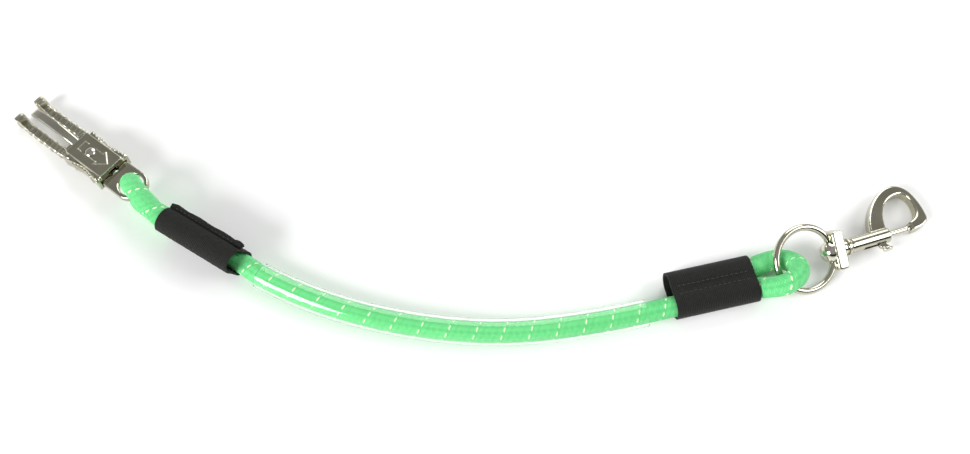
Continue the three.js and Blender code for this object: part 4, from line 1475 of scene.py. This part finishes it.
    def _arrow(self) -> list[Shell]:
        """Returns the raised outline of an arrow towards the eye."""
        head = [((32.2, 3.2), (25.2, 3.2)), ((25.2, 3.2), (25.2, 5.0)), ((25.2, 5.0), (18.4, 0.0))]
        tail = [((41.0, 3.2), (38.4, 3.2)), ((41.0, 3.2), (41.0, 0.0))]
        lines = [((a, s * b), (c, s * d)) for s in (1, -1) for (a, b), (c, d) in head + tail]
        found = []
        for (x0, y0), (x1, y1) in lines:
            along = np.array((x1 - x0, y1 - y0))
            along /= np.linalg.norm(along)
            side = np.array((-along[1], along[0])) * 0.32
            ends = (np.array((x0, y0)) - along * 0.3, np.array((x1, y1)) + along * 0.3)
            outline = np.array([ends[0] - side, ends[1] - side, ends[1] + side, ends[0] + side])
            found.append(slab(outline, 1.5, 0.15, 1).moved(z=6.1))
        return found

    def collar(self) -> Fitted:
        """Returns the release collar with its gripping ribs and arrow."""
        length = self.front - self.rear
        corners = [(self.rear, -8.4), (self.front, -8.4), (self.front, 8.4), (self.rear, 8.4)]
        shares = np.linspace(0, 1, 33)
        upper = [(self.rear + length * s, self._half_width(s)) for s in shares]
        outline = np.array([(x, -y) for x, y in upper] + upper[::-1])
        shells = [slab(np.array(corners), 13.0, 0.6), slab(outline, 9.6, 2.2, 4), *self._arrow()]
        for i in range(7):
            x = self.rear + length / 2 + (i - 3) * 2.5
            reach = self._half_width((x - self.rear) / length) + 0.85
            rib = np.array([(x - 0.62, -reach), (x + 0.62, -reach), (x + 0.62, reach), (x - 0.62, reach)])
            shells.append(slab(rib, 7.2, 0.35, 2))
        pin_seat = turned([(5.6, self.PIN_SEAT), (9.0, self.PIN_SEAT)], 40)
        cutters = (
            block((self.rear - 1, -10.1, -2.3), (self.plate_end + self.travel + 0.6, 10.1, 2.3)),
            turned([(self.rear - 1, self.SPRING_BORE), (self.stop[0], self.SPRING_BORE)], 40),
            turned([(self.stop[0] - 1, self.ROD_BORE), (self.stop[1] + 1, self.ROD_BORE)], 40),
            block((self.stop[1] - 0.3, -7.6, -5.1), (self.front + 1, 7.6, 5.1)),
            pin_seat.swapped((2, 1, 0)).moved(x=self._pin_x()),
        )
        obj = cast("collar_casting", shells, self.placement, 0.24, 3, cutters)
        return Fitted(obj, Moving.COLLAR, "nickel", ("release_collar",))

    def _pin_x(self) -> float:
        """Returns where the collar's pin stands."""
        return self.stop[0] + 1.8

    def collar_pin(self) -> Fitted:
        """Returns the collar's round-headed pin."""
        dome = [(6.05 + 1.75 * math.sin(a), 3.4 * math.cos(a)) for a in np.linspace(0, math.pi / 2, 9)]
        shell = turned([(3.4, 1.2), (3.5, 1.3), (5.8, 1.3), (5.85, 3.3), *dome])
        obj = shaded("collar_pin_head", [shell.swapped((2, 1, 0)).moved(x=self._pin_x())], self.placement)
        return Fitted(obj, Moving.COLLAR, "nickel", ("collar_pin",))

    def jaw_pin(self) -> Fitted:
        """Returns the jaw's pin with its chamfered ends."""
        barrel = [(x, self.PIN_RADIUS) for x in (-6.7, -0.5, 0.5, 6.7)]
        shell = turned([(-7.0, 1.0), *barrel, (7.0, 1.0)], 36).swapped((1, 0, 2)).moved(*self.pivot)
        obj = shaded("jaw_pin_bar", [shell], self.placement)
        return Fitted(obj, Moving.HOOK, "spring_steel", ("jaw_pin",))

    def spring(self) -> Fitted:
        """Returns the collar's spring."""
        obj = shaded("collar_coil", [coil(16.4, 31.1, 3.6, 0.5, 5)], self.placement)
        return Fitted(obj, Moving.HOOK, "spring_steel", ("collar_spring",))

    def build(self, finishes: Finishes) -> None:
        """Makes and dresses the hook's pieces."""
        self.fork().fit(finishes.cast_nickel)
        self.jaw().fit(finishes.turned_nickel)
        self.collar().fit(finishes.cast_nickel)
        self.collar_pin().fit(finishes.turned_nickel)
        self.jaw_pin().fit(finishes.wire)
        wire = self.spring().fit(finishes.wire)
        axis, anchor = self.placement.direction(1, 0, 0), self.placement.point(16.3, 0, 0)
        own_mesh(wire)


def coil(start: float, end: float, radius: float, wire: float, turns: int) -> Shell:
    """Winds a spring about the X axis, with closed end turns.

    Args:
        start: where it starts.
        end: where it ends.
        radius: to the middle of the wire.
        wire: the wire's radius.
        turns: the number of turns.

    Returns:
        The closed surface.
    """
    share = np.linspace(0, 1, turns * 26)
    eased = np.interp(share, (0, 0.14, 0.86, 1), (0, 0.07, 0.93, 1))
    angle = share * turns * 2 * math.pi
    line = np.column_stack(
        [start + wire + (end - start - 2 * wire) * eased, radius * np.cos(angle), radius * np.sin(angle)]
    )
    along = unit(np.gradient(line, axis=0))
    out = np.column_stack([np.zeros(len(share)), np.cos(angle), np.sin(angle)])
    third = np.cross(along, out)
    turn = round_angles(12)
    rings = np.cos(turn)[None, :, None] * out[:, None] + np.sin(turn)[None, :, None] * third[:, None]
    return Shell.lofted(line[:, None] + wire * rings)


# ---------------------------------------------------------------------------
# Ring and bolt snap
# ---------------------------------------------------------------------------
@dataclass
class BoltSnap:
    """The swivel ring and the bolt snap that turns in it.

    Args:
        ring_placement: the middle of the ring, with +X towards the snap.
        placement: the same, without the ring's own roll.
        ring: the ring's radius to the middle of its wire.
        wire: the ring wire's radius.
        hub: where the hub starts and ends.
        neck: where the snap's neck starts.
        front: the barrel's front.
        barrel: the barrel's radius.
        thumb: where the thumb piece starts and ends.
        tip: the bolt's tip.
        travel: how far the bolt slides.
    """

    ring_placement: Placement = RING_TURN
    placement: Placement = SNAP_TURN
    ring: float = 18.0
    wire: float = 2.0
    hub: tuple[float, float] = (16.5, 23.5)
    neck: float = 25.3
    front: float = 54.3
    barrel: float = 4.5
    thumb: tuple[float, float] = (45.8, 50.2)
    tip: float = 68.9
    travel: float = 9.0

    SHANK_RADIUS = 2.5
    SHANK_BORE = 2.8
    ROD_RADIUS = 1.7
    ROD_HOLE = 2.0
    RIVET_HEAD = 6.25
    RIVET_SEAT = 6.55

    def swivel_ring(self) -> Fitted:
        """Returns the round ring and its hub, one casting, with a seat for the rivet's head."""
        angle = round_angles(120)
        turn = round_angles(24)
        reach = self.ring + self.wire * np.cos(turn)[None, :]
        rings = np.stack(
            [
                reach * np.cos(angle)[:, None],
                reach * np.sin(angle)[:, None],
                np.broadcast_to(self.wire * np.sin(turn), (120, 24)),
            ],
            -1,
        )
        corner, half = 2.0, 11.2
        outline = []
        for k, (cx, cy) in enumerate(
            ((self.hub[1] - corner, half - corner), (self.hub[0] + corner, half - corner),
             (self.hub[0] + corner, corner - half), (self.hub[1] - corner, corner - half))
        ):
            for a in np.linspace(k * math.pi / 2, (k + 1) * math.pi / 2, 7):
                outline.append((cx + corner * math.cos(a), cy + corner * math.sin(a)))
        shells = [Shell.lofted(rings, looped=True), slab(np.array(outline), 10.4, 1.0, 4)]
        cutters = (
            turned([(self.hub[0] - 5.9, self.RIVET_SEAT), (self.hub[0], self.RIVET_SEAT)], 64),
            turned([(self.hub[0] - 4, self.SHANK_BORE), (self.hub[1] + 1, self.SHANK_BORE)], 48),
        )
        obj = cast("swivel_ring_casting", shells, self.ring_placement, 0.3, 3, cutters)
        return Fitted(obj, Moving.RING, "nickel", ("swivel_ring",))

    def rivet(self) -> Fitted:
        """Returns the domed rivet with a small dimple in its head."""
        base = self.hub[0] - 0.3
        angles = np.linspace(0.16, math.pi / 2, 16)
        dome = [(base - 5.6 * math.cos(a), self.RIVET_HEAD * math.sin(a)) for a in angles]
        top = dome[0][0]
        profile = [(top + 0.55, 0.0), (top + 0.45, 0.55), *dome, (base, 6.0)]
        profile += [(base, self.SHANK_RADIUS), (30.1, self.SHANK_RADIUS), (30.3, 2.2)]
        obj = shaded("rivet_turning", [turned(profile, 72)], self.placement, 35.0)
        return Fitted(obj, Moving.SNAP, "nickel", ("swivel_rivet",))

    def washer(self) -> Fitted:
        """Returns the washer, with broken edges."""
        start, end, bore, rim, edge = 23.8, 25.0, 2.8, 4.3, 0.2
        profile = [(start + edge, bore), (start, bore + edge), (start, rim - edge), (start + edge, rim)]
        profile += [(end - edge, rim), (end, rim - edge), (end, bore + edge), (end - edge, bore)]
        angle = round_angles(64)
        rings = [np.column_stack([np.full(64, x), r * np.cos(angle), r * np.sin(angle)]) for x, r in profile]
        obj = shaded("washer_turning", [Shell.lofted(np.array(rings), looped=True)], self.placement, 35.0)
        return Fitted(obj, Moving.SNAP, "nickel", ("swivel_washer",))

    def _crescent(self) -> np.ndarray:
        """Returns the flat hook's outline: outer edge, seat for the bolt and inner edge."""
        f, seat = self.front, self.tip + 0.3

        def off(values: tuple[float, ...]) -> tuple[float, ...]:
            """Returns numbers in pairs, with the first of each pair counted from the barrel's front."""
            return tuple(v + f if i % 2 == 0 else v for i, v in enumerate(values))

        start = (f - 11.4, 1.0)
        outside = [off((-9.5, 12, -1, 22.5, 10, 26.6)), off((16, 28.6, 22.8, 27.6, 26, 20)),
                   off((27.8, 15, 28.4, 8, 27.4, 2.5)), (*off((26, -1, 21, -2.6)), seat, -2.6)]
        points = [start, *bezier(start, outside), (seat, 2.8)]
        inside = [off((19, 4, 22, 5, 22.8, 9)), off((24.4, 14.4, 23.4, 20.6, 18.4, 21)),
                  off((11, 21.6, 1, 16, -0.6, 1))]
        points += bezier((seat, 2.8), inside)
        return np.array(points)[::-1]

    def casting(self) -> Fitted:
        """Returns the barrel and the flat hook in one casting, with its bores and thumb slot."""
        n, f, b = self.neck, self.front, self.barrel
        profile = [(n, 3.5), (n + 0.2, 3.7), (n + 1.2, 3.7), (n + 1.4, 4.9), (n + 1.6, 5.0), (n + 2.4, 5.0),
                   (n + 2.6, 4.9), (n + 3, 3.8), (n + 4, 3.8), (n + 4.6, b), (f - 0.6, b), (f, b - 0.6)]
        shells = [turned(profile, 72), slab(self._crescent(), 6.4, 1.1, 2)]
        cutters = (
            turned([(n - 1, self.SHANK_BORE), (f - 3, self.SHANK_BORE)], 48),
            turned([(f - 3.3, self.ROD_HOLE), (self.tip + 0.3, self.ROD_HOLE)], 40),
            block((self.thumb[0] - self.travel - 0.6, -9.0, -1.6), (self.thumb[1] + 0.6, 0.0, 1.6)),
        )
        obj = cast("snap_casting", shells, self.placement, 0.27, 3, cutters)
        return Fitted(obj, Moving.SNAP, "nickel", ("snap_body",))

    def bolt(self) -> Fitted:
        """Returns the bolt: plunger, rod, tip and flared thumb piece."""
        plunger, thin, tip = self.SHANK_RADIUS, self.ROD_RADIUS, self.tip
        rod = turned(
            [(44.8, 2.2), (45.1, plunger), (50.7, plunger), (51.0, 2.2), (51.1, thin), (tip - 2.2, thin),
             (tip - 2.0, 1.88), (tip - 1.2, 1.88), (tip - 1.0, thin), (tip - 0.3, thin), (tip, 1.4)]
        )
        root, (rear, front) = -4.8, self.thumb
        start = (front, 0.0)
        curve = [(rear, root - 2, rear, root - 2, rear + 2.4, root - 2.6)]
        points = [start, (rear, 0.0), (rear, root), *bezier((rear, root), curve, 8), (front + 2, root - 4.4)]
        back = [(front + 1.9, root - 1.6, front, root - 1.2, front, root)]
        points += bezier((front + 2, root - 4.4), back, 8)
        thumb = slab(np.array(points), 2.6, 0.5)
        button = turned([(-1.0, 2.0), (-0.6, 2.5), (0.2, 2.5), (0.5, 2.2)], 36).swapped((1, 0, 2))
        button = Shell(button.points * (1.25, 1, 0.95), button.faces)
        shells = [rod, thumb, button.moved(front - 0.1, root - 3.2)]
        obj = cast("bolt_turning", shells, self.placement, 0.2, 3)
        return Fitted(obj, Moving.BOLT, "nickel", ("snap_bolt",))

    def spring(self) -> Fitted:
        """Returns the bolt's spring."""
        obj = shaded("bolt_coil", [coil(30.7, 44.4, 2.15, 0.35, 6)], self.placement)
        return Fitted(obj, Moving.SNAP, "spring_steel", ("bolt_spring",))

    def build(self, finishes: Finishes) -> None:
        """Makes and dresses the ring's and the snap's pieces."""
        self.swivel_ring().fit(finishes.cast_nickel)
        self.rivet().fit(finishes.turned_nickel)
        self.washer().fit(finishes.turned_nickel)
        self.casting().fit(finishes.cast_nickel)
        self.bolt().fit(finishes.turned_nickel)
        wire = self.spring().fit(finishes.wire)
        axis, anchor = self.placement.direction(1, 0, 0), self.placement.point(30.6, 0, 0)
        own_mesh(wire)


# ---------------------------------------------------------------------------
# Studio
# ---------------------------------------------------------------------------
@dataclass
class Studio:
    """Camera, floor and light.

    Args:
        lens: the focal length, in millimetres.
        camera: where the camera stands, in metres.
        tilt: how far it looks up from straight down, in degrees.
    """

    lens: float = 40.0
    camera: tuple[float, float, float] = (0.0145, -0.3059, 0.5596)
    tilt: float = 27.0

    LIGHTS = (  # name, place in metres, size in metres and power in watts
        ("key", (-1.9, -1.6, 1.35), 1.5, 88.0),
        ("back", (0.3, 1.6, 1.2), 1.7, 20.0),
        ("right", (1.7, -0.1, 1.2), 1.4, 22.0),
    )
    FLOOR_REACH = 4.0
    SKY = (
        ((0.0, 0.95), (0.16, 0.70), (0.25, 0.03), (0.50, 0.03), (0.64, 0.36), (1.0, 0.42)),
        ((0.0, 0.80), (0.12, 0.50), (0.40, 0.36), (0.80, 0.31), (0.93, 0.34), (1.0, 0.42)),
    )

    def place_camera(self) -> None:
        """Makes the camera and looks through it."""
        data = bpy.data.cameras.new("camera")
        data.lens = self.lens
        data.sensor_width = 36.0
        data.clip_start = 0.01
        obj = linked("camera", data)
        obj.location = self.camera
        obj.rotation_euler = (math.radians(self.tilt), 0.0, 0.0)
        bpy.context.scene.camera = obj

    def light(self) -> None:
        """Hangs the soft lights and sets the sky."""
        for name, place, size, power in self.LIGHTS:
            data = bpy.data.lights.new(name, "AREA")
            data.shape = "DISK"
            data.size = size
            data.energy = power
            obj = linked(name, data)
            obj.location = place
            obj.rotation_euler = (-Vector(place)).to_track_quat("-Z", "Y").to_euler()
        self._sky()
        bpy.context.scene.view_settings.view_transform = "Standard"

    def _sky(self) -> None:
        """Sets a sky that is pale low down, grey behind the lead and overhead, and dark in front."""
        world = bpy.data.worlds.new("sky")
        world.use_nodes = True
        tree = world.node_tree
        split = tree.nodes.new("ShaderNodeSeparateXYZ")
        tree.links.new(tree.nodes.new("ShaderNodeTexCoord").outputs["Generated"], split.inputs[0])
        shades = []
        for stops in self.SKY:
            ramp = tree.nodes.new("ShaderNodeValToRGB")
            fill_ramp(ramp, [(at, (value, value, value * 0.99)) for at, value in stops])
            tree.links.new(split.outputs["Z"], ramp.inputs[0])
            shades.append(ramp.outputs[0])
        side = tree.nodes.new("ShaderNodeMapRange")
        side.inputs["From Min"].default_value = -0.25
        side.inputs["From Max"].default_value = 0.10
        tree.links.new(split.outputs["Y"], side.inputs["Value"])
        both = tree.nodes.new("ShaderNodeMixRGB")
        for value, socket in zip((side.outputs[0], *shades), both.inputs):
            tree.links.new(value, socket)
        tree.links.new(both.outputs[0], tree.nodes["Background"].inputs["Color"])
        bpy.context.scene.world = world

    def lay_floor(self) -> None:
        """Lays the floor."""
        mesh = bpy.data.meshes.new("floor")
        reach = self.FLOOR_REACH
        corners = [(-reach, -reach, 0), (reach, -reach, 0), (reach, reach, 0), (-reach, reach, 0)]
        mesh.from_pydata(corners, [], [(0, 1, 2, 3)])
        floor = linked("floor", mesh)
        mesh.materials.append(PaleFloor().material())


def main() -> None:
    """Builds the studio and the lead, and reports each piece."""
    logging.basicConfig(level=logging.INFO, format="%(name)s: %(message)s")
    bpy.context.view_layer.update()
    studio = Studio()
    studio.place_camera()
    finishes = Finishes.mixed()
    route = Route()
    rope = BraidedRope(route)
    sheath = rope.sheath().fit(finishes.braid)
    pieces = [rope.core().fit(finishes.core), ClearHose(route).hose().fit(finishes.vinyl)]
    left = LeftSleeve("left_sleeve_web", "sleeve_left", LEFT_MOUTH, 50.0, pinch=(0.5, 0.5), seed=5)
    right = RightSleeve(
        "right_sleeve_web", "sleeve_right", RIGHT_MOUTH, 48.0, pinch=(1.4, 0.0), rows=(2.3, -2.3), seed=9
    )
    pieces += left.build(finishes) + right.build(finishes)
    LOG.info("rope: %.3f m long", route.length)
    PanicHook().build(finishes)
    BoltSnap().build(finishes)
    studio.light()
    studio.lay_floor()


if __name__ == "__main__":
    main()
